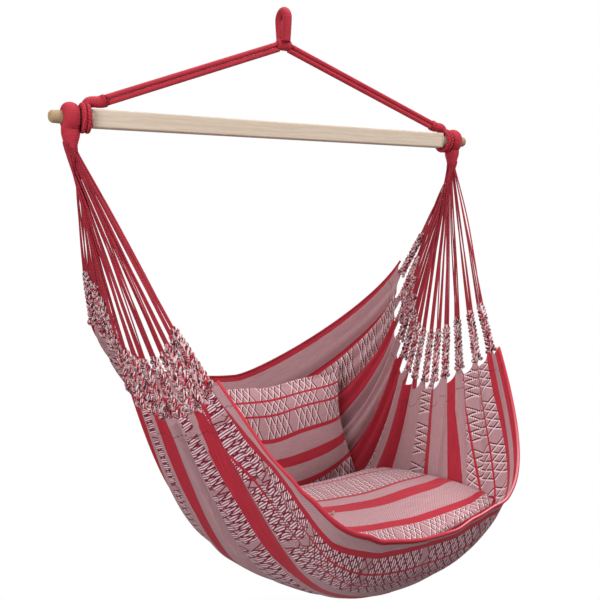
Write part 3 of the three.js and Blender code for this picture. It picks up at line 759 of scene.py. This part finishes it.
foldSet = {
    "depth": 0.023, "reach": 0.42, "fade": 1.25, "rowSlack": 1.7, "flatShare": 0.62, "edgeFade": 0.012,
    "ripple": 0.0016, "scallop": 0.025, "scallopReach": 0.07, "scallopWidth": 0.66,
    # side, row, half widths before and behind it in rows, depth, reach: the deep creases in the photograph
    "creases": [
        (1, 0.172, 0.008, 0.016, 0.034, 0.42), (1, 0.398, 0.007, 0.020, 0.036, 0.40),
        (1, 0.510, 0.006, 0.018, 0.030, 0.42), (1, 0.612, 0.007, 0.022, 0.046, 0.46),
        (1, 0.690, 0.006, 0.018, 0.034, 0.46), (1, 0.760, 0.007, 0.022, 0.040, 0.50),
        (1, 0.845, 0.008, 0.018, 0.028, 0.60), (1, 0.925, 0.008, 0.016, 0.024, 0.60),
        (-1, 0.115, 0.007, 0.014, -0.012, 0.5), (-1, 0.290, 0.006, 0.016, -0.022, 0.55),
        (-1, 0.400, 0.006, 0.014, -0.050, 0.70), (-1, 0.90, 0.010, 0.014, 0.016, 0.5),
    ],
}


# the front edge's own rise across the sheet: it stands up to 26 mm over the cushion's corner
frontRise = [(-1, 0), (-0.85, 0), (-0.7, 0.016), (-0.6, 0.026), (-0.3, 0.025), (-0.2, 0.015), (0, 0.003),
             (0.1, 0.003), (0.2, 0.014), (0.3, 0.016), (0.45, 0.004), (0.6, 0), (1, 0)]
frontBand = 0.07


def riseAt(across, row):
    if row > frontBand:
        return 0
    for (low, first), (high, second) in zip(frontRise, frontRise[1:]):
        if across <= high:
            t = (across - low) / (high - low)
            return (first + (second - first) * t * t * (3 - 2 * t)) * (1 - row / frontBand) ** 2
    return 0


def foldAt(across, row):
    # towards the sitter is positive; nothing moves at the sheet's two edges
    toEnd = (1 - abs(across)) * sheetSet["halfWidth"] * foldSet["rowSlack"]
    side = -1 if across < 0 else 1
    edge = min(row, 1 - row)
    fade = max(1 - toEnd / foldSet["reach"], 0) ** foldSet["fade"]
    number = sheetSet["braids"] * row
    own = 0.8 + 0.5 * noise(Vector((number * 0.9, side * 5.0, 1.5)))
    sway = 0.8 * fade * noise(Vector((number * 0.7, across * 2, side * 3.0)))
    turn = math.pi * (number + 0.35 * sway * min(edge * 8, 1))
    # sharp at the plaits, which draw it in, and full between them
    fold = foldSet["depth"] * fade * own * (math.sqrt(math.cos(turn) ** 2 + 0.01) - foldSet["flatShare"])
    for creaseSide, at, before, behind, deep, reach in foldSet["creases"]:
        if creaseSide == side:
            near = max(1 - toEnd / reach, 0) * min(0.25 + toEnd / 0.08, 1)
            fold -= deep * near * math.exp(-((row - at) / (before if row < at else behind)) ** 2)
    fold += foldSet["ripple"] * noise(Vector((across * 7, row * 26, side))) * (1 - abs(across) ** 4)
    return fold * min(edge / foldSet["edgeFade"], 1)


def clothPoint(across, row):
    return sheetPoint(across, row) + sheetNormal(across, row) * foldAt(across, row) + upAxis * riseAt(across, row)


# ------- the cloth

clothSet = {"columns": 150, "rows": 260, "thickness": 0.0014}


def shares(*thousandths):
    return [value / 1000 for value in thousandths]


# where the stripes' edges run on the sheet: gathering hides other stretches of the cut cloth at each end
cutEdges = shares(0, 14, 38, 53, 90, 96, 154, 160, 183, 206, 231, 305, 322, 390, 430, 492, 571, 600, 626, 790, 1000)
tracedEdges = cutEdges[:18]
cutRows = [
    (-1.00, shares(0, 7, 38, 51, 57, 86, 176, 184, 193, 214, 267, 281, 293, 380, 425, 462, 502, 510)),
    (-0.90, shares(0, 6, 28, 39, 62, 82, 188, 194, 200, 217, 274, 284, 296, 386, 410, 459, 500, 508)),
    (-0.80, shares(0, 5, 16, 25, 47, 63, 160, 167, 205, 223, 278, 289, 299, 380, 404, 457, 496, 506)),
    (-0.70, shares(0, 4, 18, 25, 47, 56, 141, 148, 202, 217, 277, 290, 301, 384, 408, 458, 488, 506)),
    (-0.60, shares(0, 4, 22, 30, 48, 55, 116, 122, 200, 218, 273, 290, 301, 386, 416, 459, 486, 506)),
    (-0.48, shares(0, 4, 24, 32, 51, 57, 100, 105, 190, 219, 262, 286, 299, 380, 418, 460, 490, 510)),
    (-0.35, shares(0, 3, 18, 25, 47, 51, 88, 92, 150, 206, 246, 280, 295, 375, 416, 462, 500, 520)),
    (-0.20, shares(0, 3, 14, 22, 45, 49, 78, 82, 118, 165, 215, 272, 290, 368, 410, 466, 515, 540)),
    (0.00, shares(0, 2, 4, 12, 41, 45, 70, 74, 102, 140, 195, 265, 284, 362, 404, 470, 540, 570)),
    (0.30, shares(0, 2, 4, 12, 41, 45, 74, 78, 108, 148, 198, 272, 290, 365, 410, 475, 550, 580)),
    (0.90, tracedEdges),
    (1.00, tracedEdges),
]


def cutShare(across, row):
    for (low, first), (high, second) in zip(cutRows, cutRows[1:]):
        if across <= high:
            t = (across - low) / (high - low)
            rows = [a + (b - a) * t for a, b in zip(first, second)]
            middle = (rows[-1] + 0.79) / 2 - 0.08
            return float(np.interp(row, rows + [middle, 0.79, 1], cutEdges))
    return row


def makeCloth():
    columns, rows = clothSet["columns"], clothSet["rows"]
    shape = bmesh.new()
    shape.loops.layers.uv.new("UVMap")
    endGap = shape.verts.layers.float.new("endGap")
    bmesh.ops.create_grid(shape, x_segments=columns, y_segments=rows, size=0.5, calc_uvs=True)
    spots = {cellOf(vert, columns, rows): vert for vert in shape.verts}
    # columns stand closer together near the ends, where the folds are
    places = [math.sin((2 * i / columns - 1) * math.pi / 2 * 0.86) / math.sin(math.pi / 2 * 0.86)
              for i in range(columns + 1)]
    distance = np.zeros((columns + 1, rows + 1))
    for j in range(rows + 1):
        row = j / rows
        fromGap = abs(2 * ((sheetSet["braids"] * row + 0.5) % 1) - 1)
        scallop = foldSet["scallop"] * math.sqrt(max(1 - (fromGap / foldSet["scallopWidth"]) ** 2, 0))
        scallop *= min(min(row, 1 - row) / 0.03, 1)
        for i in range(columns + 1):
            across = places[i]
            near = max(abs(across) - (1 - foldSet["scallopReach"] * 2), 0) / (foldSet["scallopReach"] * 2)
            inward = across - math.copysign(scallop * (near if across > 0 else 0.5 * near) / 1.04, across)
            spots[i, j].co = clothPoint(inward, row)
            if i:
                distance[i, j] = distance[i - 1, j] + (spots[i, j].co - spots[i - 1, j].co).length
    centre = columns // 2
    for j in range(rows + 1):
        for i in range(columns + 1):
            spots[i, j][endGap] = min(distance[i, j], distance[columns, j] - distance[i, j])

    def onCloth(x, y):
        i, j = round(x * columns), round(y * rows)
        return distance[i, j] - distance[centre, j], cutShare(places[i], j / rows)

    mapUv(shape, onCloth)
    # the face towards the sitter is the sheet's own; the thickness adds the outer one
    bmesh.ops.recalc_face_normals(shape, faces=shape.faces)
    shape.faces.ensure_lookup_table()
    lowest = min(shape.faces, key=lambda face: face.calc_center_median().z)
    if lowest.normal.z < 0:
        bmesh.ops.reverse_faces(shape, faces=shape.faces)
    piece = finishPiece("cloth_seat", shape, slingFinish, "sling", "sling_cloth")
    piece.data.materials.append(slingOuter)
    solid = piece.modifiers.new("clothThickness", "SOLIDIFY")
    solid.thickness = clothSet["thickness"]
    solid.offset = 0
    solid.material_offset = 1
    return piece


cloth = makeCloth()
print("cloth made")

# ------- the cords in the cloth's two edges

edgeSet = {"radius": 0.003, "steps": 150, "stand": 0.0030}


def makeEdgeCord(name, row, node):
    inward = 0.02 if row == 0 else -0.02
    path = []
    for step in range(edgeSet["steps"] + 1):
        across = 2 * step / edgeSet["steps"] - 1
        at = sheetPoint(across, row)
        strip = (at - sheetPoint(across, row + inward)).normalized()
        path.append(at + strip * edgeSet["stand"] + upAxis * riseAt(across, row))
    shape = bmesh.new()
    addTube(shape, path, edgeSet["radius"], 8, (0, 1, 0))
    finishPiece(name, shape, stitchedFinish if row == 0 else edgeFinish, "sling", node)


makeEdgeCord("front_selvage", 0.0, "front_edge_cord")
makeEdgeCord("back_selvage", 1.0, "back_edge_cord")

# ------- plaited cords

bothHands = ((-1, "left"), (1, "right"))

plaitSet = {"length": 0.138, "width": 0.0066, "depth": 0.0034, "strand": 0.0043, "pitch": 0.033, "steps": 76}


def braidPlace(side, index):
    row = (index + 0.5) / sheetSet["braids"]
    foot = clothPoint(side, row)
    along = (neckPoint(side) - foot).normalized()
    lie = (endPoint(side, row + 0.01) - endPoint(side, row - 0.01)).normalized()
    lie = (lie - along * lie.dot(along)).normalized()
    return foot + along * 0.0015, along, lie


def makePlait(side, hand, index):
    foot, along, lie = braidPlace(side, index)
    deep = along.cross(lie)
    shape = bmesh.new()
    steps = plaitSet["steps"]
    wide = (1.18 if side < 0 else 1.0) + 0.16 * noise(Vector((index * 2.7, side * 3.0, 0.5)))

    def thick(share):
        return plaitSet["strand"] * wide ** 0.7 * min(1.0, 0.8 + share * 3) * min(1.0, 0.45 + (1 - share) * 9)

    for strand in range(3):
        path = []
        for step in range(steps + 1):
            share = step / steps
            at = share * plaitSet["length"]
            phase = 2 * math.pi * (at / plaitSet["pitch"] + strand / 3)
            gather = (1 + 1.3 * max(1 - share / 0.14, 0) ** 1.5) * min(1.0, 0.35 + (1 - share) * 9)
            wobble = 0.0012 * noise(Vector((at * 40, index * 4.0 + strand, side)))
            path.append(foot + along * at + lie * (plaitSet["width"] * wide * gather * math.sin(phase) + wobble)
                        + deep * (plaitSet["depth"] * math.sin(2 * phase) + wobble))
        lane = 0.05 * (index * 3 + strand + (50 if side > 0 else 0))
        addTube(shape, path, thick, 10, deep, lane=lane)
    number = f"{index + 1:02d}"
    finishPiece(f"plait_{hand}_{number}", shape, plaitFinish, "sling", f"braid_{hand}_{number}")


for side, hand in bothHands:
    for index in range(sheetSet["braids"]):
        makePlait(side, hand, index)
print("plaits made")

# ------- strings from the plaits to the necks

stringSet = {"radius": 0.0017, "sides": 6, "steps": 30, "each": 5, "spacing": 0.0040}


def makeStrings(side, hand):
    shape = bmesh.new()
    neck = neckPoint(side)
    for index in range(sheetSet["braids"]):
        foot, along, lie = braidPlace(side, index)
        deep = along.cross(lie)
        top = foot + along * (plaitSet["length"] - 0.008)
        for number in range(stringSet["each"]):
            offset = number - (stringSet["each"] - 1) / 2
            own = Vector((index * 1.9, number * 2.3, side * 7.0))
            angle = 2 * math.pi * (index + number / stringSet["each"]) / sheetSet["braids"]
            ring = Vector((math.cos(angle), math.sin(angle), 0))
            inRing = 0.45 + 0.55 * ((number * 3 + index) % 5) / 4
            start = top + lie * (offset * stringSet["spacing"]) + deep * (0.0016 * noise(own))
            goal = neck + ring * (0.0118 * inRing) + upAxis * 0.042
            seat = neck + ring * (0.0090 * inRing) + upAxis * 0.054
            bow = lie * (0.016 * noise(own + Vector((5, 0, 0)))) + deep * (0.007 * noise(own + Vector((0, 5, 0))))
            fan = start.lerp(goal, 0.30) + lie * (offset * 0.0006) + bow * 0.6
            path = smoothPath([start, start + along * 0.012, fan, start.lerp(goal, 0.62) + bow, goal, seat],
                              stringSet["steps"])
            addTube(shape, path, stringSet["radius"], stringSet["sides"], lie)
    finishPiece(f"strings_{hand}", shape, stringFinish, "sling", f"harness_{hand}")


for side, hand in bothHands:
    makeStrings(side, hand)
print("strings made")

# ------- served eyes on the turned ends

eyeSet = {
    "inner": 0.4865, "width": 0.036, "diameter": 0.061, "turns": 60, "ridge": 0.00045,
    "neckRoot": 0.0188, "neckRadius": 0.0125, "neckDrop": 0.062,
}
spigotSet = {"root": 0.0165, "tip": 0.0125, "shoulder": 0.465, "end": 0.547, "gap": 0.0006}


def spigotRadius(along):
    share = (along - spigotSet["shoulder"]) / (spigotSet["end"] - spigotSet["shoulder"])
    return spigotSet["root"] + (spigotSet["tip"] - spigotSet["root"]) * share


def settleOnBar(shape, side):
    # a shape made for the right end is mirrored for the left one and set on the bar
    if side < 0:
        bmesh.ops.scale(shape, vec=(-1, 1, 1), verts=shape.verts)
    bmesh.ops.recalc_face_normals(shape, faces=shape.faces)
    bmesh.ops.translate(shape, vec=barCentre, verts=shape.verts)


def makeEye(side, hand):
    shape = bmesh.new()
    shape.loops.layers.uv.new("UVMap")
    perTurn = 4
    around = eyeSet["turns"] * perTurn
    sections = 22
    middleX = eyeSet["inner"] + eyeSet["width"] / 2
    bmesh.ops.create_grid(shape, x_segments=around, y_segments=sections, size=0.5, calc_uvs=True)
    for vert in shape.verts:
        i, j = cellOf(vert, around, sections)
        ringAngle = 2 * math.pi * i / around
        section = 2 * math.pi * j / sections
        ridge = eyeSet["ridge"] * math.cos(2 * math.pi * i / perTurn)
        halfWide = eyeSet["width"] / 2 - 0.0008 + ridge
        across = -math.cos(section) * halfWide
        bore = spigotRadius(middleX + across) + spigotSet["gap"]
        out = bore
        if section <= math.pi:
            out = bore + (eyeSet["diameter"] / 2 - bore + ridge) * math.sin(section) ** 0.9
        vert.co = Vector((middleX + across, out * math.sin(ringAngle), out * math.cos(ringAngle)))
    bmesh.ops.remove_doubles(shape, verts=shape.verts, dist=1e-6)
    mapUv(shape, lambda turn, section: (turn * 0.19, section * 0.09))
    # the neck below, served down to where the strings leave
    neckPath = [Vector((middleX, 0, z)) for z in np.linspace(-0.020, -eyeSet["neckDrop"] + 0.0004, 57)]

    def neckThick(share):
        z = 0.020 + share * (eyeSet["neckDrop"] - 0.0204)
        t = max(z - 0.030, 0) / 0.032
        base = eyeSet["neckRoot"] + (eyeSet["neckRadius"] - eyeSet["neckRoot"]) * (t * t * (3 - 2 * t))
        return base + 0.0004 * math.cos(math.pi * share * 56)

    addTube(shape, neckPath, neckThick, 24, (1, 0, 0))
    settleOnBar(shape, side)
    finishPiece(f"served_eye_{hand}", shape, servedFinish, "sling", f"eye_{hand}")


# ------- twisted lashings beside the bar's shoulders, with the collars that take the rope legs

lashingSet = {
    "inner": 0.4655, "width": 0.019, "ring": 0.0262, "ringsAt": (0.27, 0.79), "strandCore": 0.0021,
    "strand": 0.0029, "twists": 12, "core": 0.0205, "coreTurns": ((0.0, 0.0042), (0.0075, 0.0031)),
    "collar": 0.0132, "collarTop": 0.0098,
}
collarMouth = Vector((0.433, 0, 0.019 + 0.0003 + 0.0135 + 0.159 / 0.465 * 0.016))
knotCentre = Vector((-0.012, 0, 0.195))


def ringPath(x, radius, steps):
    angles = [2 * math.pi * step / steps for step in range(steps)]
    return [Vector((x, radius * math.sin(angle), radius * math.cos(angle))) for angle in angles]


def makeLashing(side, hand):
    shape = bmesh.new()
    for rank, share in enumerate(lashingSet["ringsAt"]):
        ring = ringPath(lashingSet["inner"] + lashingSet["width"] * share, lashingSet["ring"], 320)
        twist = 2 * math.pi * lashingSet["ring"] / lashingSet["twists"]
        addStrands(shape, ring, lashingSet["strandCore"], lashingSet["strand"], 2, twist, 8, (1, 0, 0), rank * 1.1)
    # the inner turns
    core = ringPath(lashingSet["inner"] + lashingSet["width"] / 2, lashingSet["core"], 72)
    for aside, radius in lashingSet["coreTurns"]:
        addTube(shape, [p + Vector((aside, 0, 0)) for p in core], radius, 10, (1, 0, 0), closed=True)
    along = (collarMouth - knotCentre).normalized()
    bend = Vector((lashingSet["inner"] - 0.001, 0, collarMouth.z - 0.0055))
    top = Vector((lashingSet["inner"] + lashingSet["width"] / 2, 0, 0.031 - 0.0095))
    path = smoothPath([collarMouth, collarMouth + along * 0.0107, bend, top], 64)

    def thick(share):
        base = lashingSet["collar"] + (lashingSet["collarTop"] - lashingSet["collar"]) * share
        return base + 0.0006 * math.cos(math.pi * 64 * share * 0.5)

    addTube(shape, path, thick, 22)
    settleOnBar(shape, side)
    finishPiece(f"twisted_lashing_{hand}", shape, ropeFinish, "hanger", f"lashing_{hand}")


for side, hand in bothHands:
    makeEye(side, hand)
    makeLashing(side, hand)
print("eyes and lashings made")

# ------- rope legs, the knot and the hanging loop

legSet = {"radius": 0.00572, "spacing": 0.0115, "steps": 60}


def makeLeg(side, rank, name, node):
    mouth = Vector((side * collarMouth.x, 0, collarMouth.z))
    along = (mouth - knotCentre).normalized()
    across = Vector((0, side, 0)).cross(along) * (rank * legSet["spacing"] / 2)
    start = knotCentre + along * 0.0152 + across
    end = mouth - along * 0.0003 + across
    path = [start.lerp(end, i / legSet["steps"]) + barCentre for i in range(legSet["steps"] + 1)]
    shape = bmesh.new()
    addTube(shape, path, legSet["radius"], 16)
    finishPiece(name, shape, ropeFinish, "hanger", node)


for side, hand in bothHands:
    for rank, level in ((1, "upper"), (-1, "lower")):
        makeLeg(side, rank, f"rope_leg_{hand}_{level}", f"rope_{hand}_{level}")

loopSet = {"strand": 0.022, "eye": 0.014, "height": 0.063, "legGap": 0.0012}


def makeLoop():
    spread = (loopSet["eye"] + loopSet["strand"]) / 2
    legSpread = (loopSet["strand"] + loopSet["legGap"]) / 2
    centreDrop = spread - loopSet["strand"] / 2
    foot = loopSet["height"] - 0.0003
    right = [
        Vector((0, legSpread, -foot + 0.0065)),
        Vector((0, (spread + legSpread) / 2, -(foot + centreDrop) / 2)),
    ]
    for step in range(5):
        angle = math.pi * step / 8
        right.append(Vector((0, spread * math.cos(angle), spread * math.sin(angle) - centreDrop)))
    left = [Vector((p.x, -p.y, p.z)) for p in reversed(right[:-1])]
    path = smoothPath(right + left, 96)
    shape = bmesh.new()

    def thick(share):
        return loopSet["strand"] / 2 - 0.0004 + 0.00025 * math.cos(2 * math.pi * 48 * share)

    addTube(shape, path, thick, 24, (1, 0, 0))
    finishPiece("loop_of_rope", shape, servedFinish, "hanger", "hanging_loop")


def makeKnot():
    shape = bmesh.new()
    path = [knotCentre + barCentre + Vector((x, 0, 0)) for x in np.linspace(-0.017, 0.017, 45)]

    def thick(share):
        edge = min(share, 1 - share) * 0.034
        bulge = 0.0085 + 0.004 * math.sqrt(max(1 - (1 - min(edge / 0.004, 1)) ** 2, 0))
        return bulge + 0.0003 * math.cos(math.pi * 44 * share * 0.5)

    addTube(shape, path, thick, 24)
    finishPiece("served_knot", shape, servedFinish, "hanger", "loop_knot")


makeLoop()
makeKnot()

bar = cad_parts["spreader_bar"]
bar.data.materials.clear()
bar.data.materials.append(woodFinish)
print("ropes, loop and bar made")

# ------- cushions

cushionSet = {
    "seat": {
        "half": (0.240, 0.235), "crown": 0.043, "belly": 0.125, "curlNear": 0.088, "curlFar": 0.010,
        "footLift": 0.0, "rightDrop": 0.042, "corner": (0, 0),
        "solidCrown": 0.050, "skew": 0.085, "cap": 0.009, "seamShare": 0.86, "stray": 0.012,
        "drawIn": 0.013, "turn": -4.0, "row": 0.331, "shift": (0, 0, 0.171),
    },
    "back": {
        "half": (0.250, 0.178), "crown": 0.052, "belly": 0.062, "curlNear": 0.040, "curlFar": 0.020,
        "footLift": 0.075, "rightDrop": 0.0, "corner": (0.020, 0.014),
        "solidCrown": 0.052, "skew": 0.0, "cap": 0.008, "seamShare": 0.04, "stray": 0.024,
        "drawIn": 0.012, "turn": 90 - 18.5, "row": 0.75, "shift": (0, -0.108, 0.129),
    },
    "steps": 44, "pressure": 4.0, "frames": 20, "gap": 0.003, "welt": 0.0016,
}


def cushionSpot(form, a, b, face):
    halfWidth, halfDepth = form["half"]
    fullness = max((1 - a ** 4) * (1 - b ** 4), 0) ** 0.55
    near = (1 - b) / 2
    curl = form["curlFar"] + (form["curlNear"] - form["curlFar"]) * near
    curl -= form["rightDrop"] * near ** 3 if a > 0 else 0
    depth = form["crown"] * fullness if face > 0 else -form["belly"] * fullness ** 2
    pull = max(a, 0) ** 2 * max(b, 0) ** 2
    return Vector((a * (halfWidth - form["drawIn"] * (1 - b * b)) + form["corner"][0] * pull,
                   b * (halfDepth - form["drawIn"] * (1 - a * a)) + form["footLift"] * a * a * near
                   + form["corner"][1] * pull,
                   curl * a * a + depth))


def coverShare(form, a, b):
    # where the stripes fall on the cover, whose weave strays a little from the seams
    stray = form["stray"] * noise(Vector((a * 2.4, b * 1.7, form["turn"]))) * (1 - b ** 4)
    skew = form["skew"] * (max(a, 0) + 1.4 * min(a, 0) ** 2 * max(-b, 0) ** 2)
    return 0.5 - b / 2 + stray - skew * (1 - b ** 6)


def swell(piece, cap):
    # the stuffing fills out the cover, no point further than the cap
    before = np.array([vert.co for vert in piece.data.vertices])
    stuffing = piece.modifiers.new("stuffing", "CLOTH")
    for name, value in (("quality", 5), ("mass", 0.2), ("tension_stiffness", 22), ("compression_stiffness", 22),
                        ("shear_stiffness", 6), ("bending_stiffness", 0.12), ("use_pressure", True),
                        ("uniform_pressure_force", cushionSet["pressure"])):
        setattr(stuffing.settings, name, value)
    stuffing.settings.effector_weights.gravity = 0
    stuffing.collision_settings.use_collision = False
    stuffing.point_cache.frame_start = 1
    stuffing.point_cache.frame_end = cushionSet["frames"]
    scene = bpy.context.scene
    for number in range(1, cushionSet["frames"] + 1):
        scene.frame_set(number)
    shaped = piece.evaluated_get(bpy.context.evaluated_depsgraph_get()).data
    after = np.array([vert.co for vert in shaped.vertices])
    piece.modifiers.remove(stuffing)
    scene.frame_set(1)
    moved = after - before
    moved -= moved.mean(axis=0)
    far = np.linalg.norm(moved, axis=1)
    print(piece.name, "moved by up to", round(float(far.max()), 4))
    share = cap * np.tanh(far / cap) / np.maximum(far, 1e-9)
    for vert, co in zip(piece.data.vertices, before + moved * share[:, None]):
        vert.co = co


def restOn(piece, gap):
    # nothing of the piece stays behind the sling's cloth
    cover = cloth.data
    tree = BVHTree.FromPolygons([v.co for v in cover.vertices], [list(p.vertices) for p in cover.polygons])
    for vert in piece.data.vertices:
        spot, normal, _, away = tree.find_nearest(vert.co, 0.09)
        if spot is None:
            continue
        if (vert.co - spot).dot(normal) < gap:
            vert.co = spot + normal * gap


def addSeam(piece, form, radius):
    # the welt that the two panels' edges make, added once the cover has its shape
    ring = piece.data.attributes["ringTurn"].data
    turns = sorted((entry.value, index) for index, entry in enumerate(ring) if entry.value > -50)
    path = [piece.data.vertices[index].co.copy() for _, index in turns]
    shape = bmesh.new()
    addTube(shape, path, radius, 6, closed=True)
    mapUv(shape, lambda along, turn: (along, form["seamShare"]))
    both = bmesh.new()
    both.from_mesh(piece.data)
    joinShape(both, shape)
    both.to_mesh(piece.data)
    both.free()
    piece.data.polygons.foreach_set("use_smooth", [True] * len(piece.data.polygons))


def makeCushion(key, name, node, material, pressAxis):
    form = cushionSet[key]
    steps = cushionSet["steps"]
    turn = Matrix.Rotation(math.radians(form["turn"]), 3, "X")
    shape = bmesh.new()
    shape.loops.layers.uv.new("UVMap")
    shape.verts.layers.float.new("ringTurn")
    for face in (1, -1):
        panel = bmesh.new()
        panel.loops.layers.uv.new("UVMap")
        ringTurn = panel.verts.layers.float.new("ringTurn")
        bmesh.ops.create_grid(panel, x_segments=2 * steps, y_segments=2 * steps, size=0.5, calc_uvs=True)
        mapUv(panel, lambda x, y: ((2 * x - 1) * form["half"][0] * 1.05, coverShare(form, 2 * x - 1, 2 * y - 1)))
        for vert in panel.verts:
            a, b = 2 * vert.co.x, 2 * vert.co.y
            vert[ringTurn] = math.atan2(b, a) if max(abs(a), abs(b)) > 0.9999 else -100
            vert.co = turn @ cushionSpot(form, a, b, face)
        joinShape(shape, panel)
    bmesh.ops.remove_doubles(shape, verts=shape.verts, dist=1e-5)
    bmesh.ops.recalc_face_normals(shape, faces=shape.faces)
    # the solid model has already let it down onto the cloth: its crown shows how far
    place = sheetPoint(0, form["row"]) + Vector(form["shift"])
    crown = turn @ cushionSpot(form, 0, 0, 1) + sheetPoint(0, form["row"]) + Vector(form["shift"])
    solidCrown = crown + pressAxis * (form["crown"] - form["solidCrown"])

    def aside(vert):
        away = vert.co - crown
        return (away - pressAxis * away.dot(pressAxis)).length

    above = sorted(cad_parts[node].data.vertices, key=aside)[:8]
    lowered = min(vert.co.dot(pressAxis) for vert in above) - solidCrown.dot(pressAxis)
    bmesh.ops.translate(shape, vec=place + pressAxis * lowered, verts=shape.verts)
    piece = finishPiece(name, shape, material, "seat_pad" if key == "seat" else "back_pad", node)
    swell(piece, form["cap"])
    restOn(piece, cushionSet["gap"])
    addSeam(piece, form, cushionSet["welt"])
    return piece


tilt = math.radians(18.5)
zipSet = {"place": Vector((-0.0712, -0.334, -1.0590)), "radius": 0.0016}


def makeZipPull(piece):
    # the end of the cover's zip shows where the cushion meets the front edge
    corner = min((vert.co for vert in piece.data.vertices), key=lambda co: (co - zipSet["place"]).length)
    start = corner + Vector((0.004, -0.001, 0.003))
    path = smoothPath([start, start + Vector((-0.006, -0.004, 0.004)), start + Vector((-0.012, -0.009, 0.001))], 12)
    shape = bmesh.new()
    addTube(shape, path, lambda share: zipSet["radius"] * (0.8 + 0.5 * share), 8)
    finishPiece("zip_pull", shape, makeCordFinish("zipCord", yarn["zip"], yarn["zipDeep"], 0.003, 1.0),
                "seat_pad")


seatPiece = makeCushion("seat", "seat_pillow", "seat_cushion", seatFinish, Vector((0, 0, -1)))
makeCushion("back", "back_pillow", "back_cushion", backFinish, Vector((0, math.cos(tilt), -math.sin(tilt))))
makeZipPull(seatPiece)
print("cushions made")
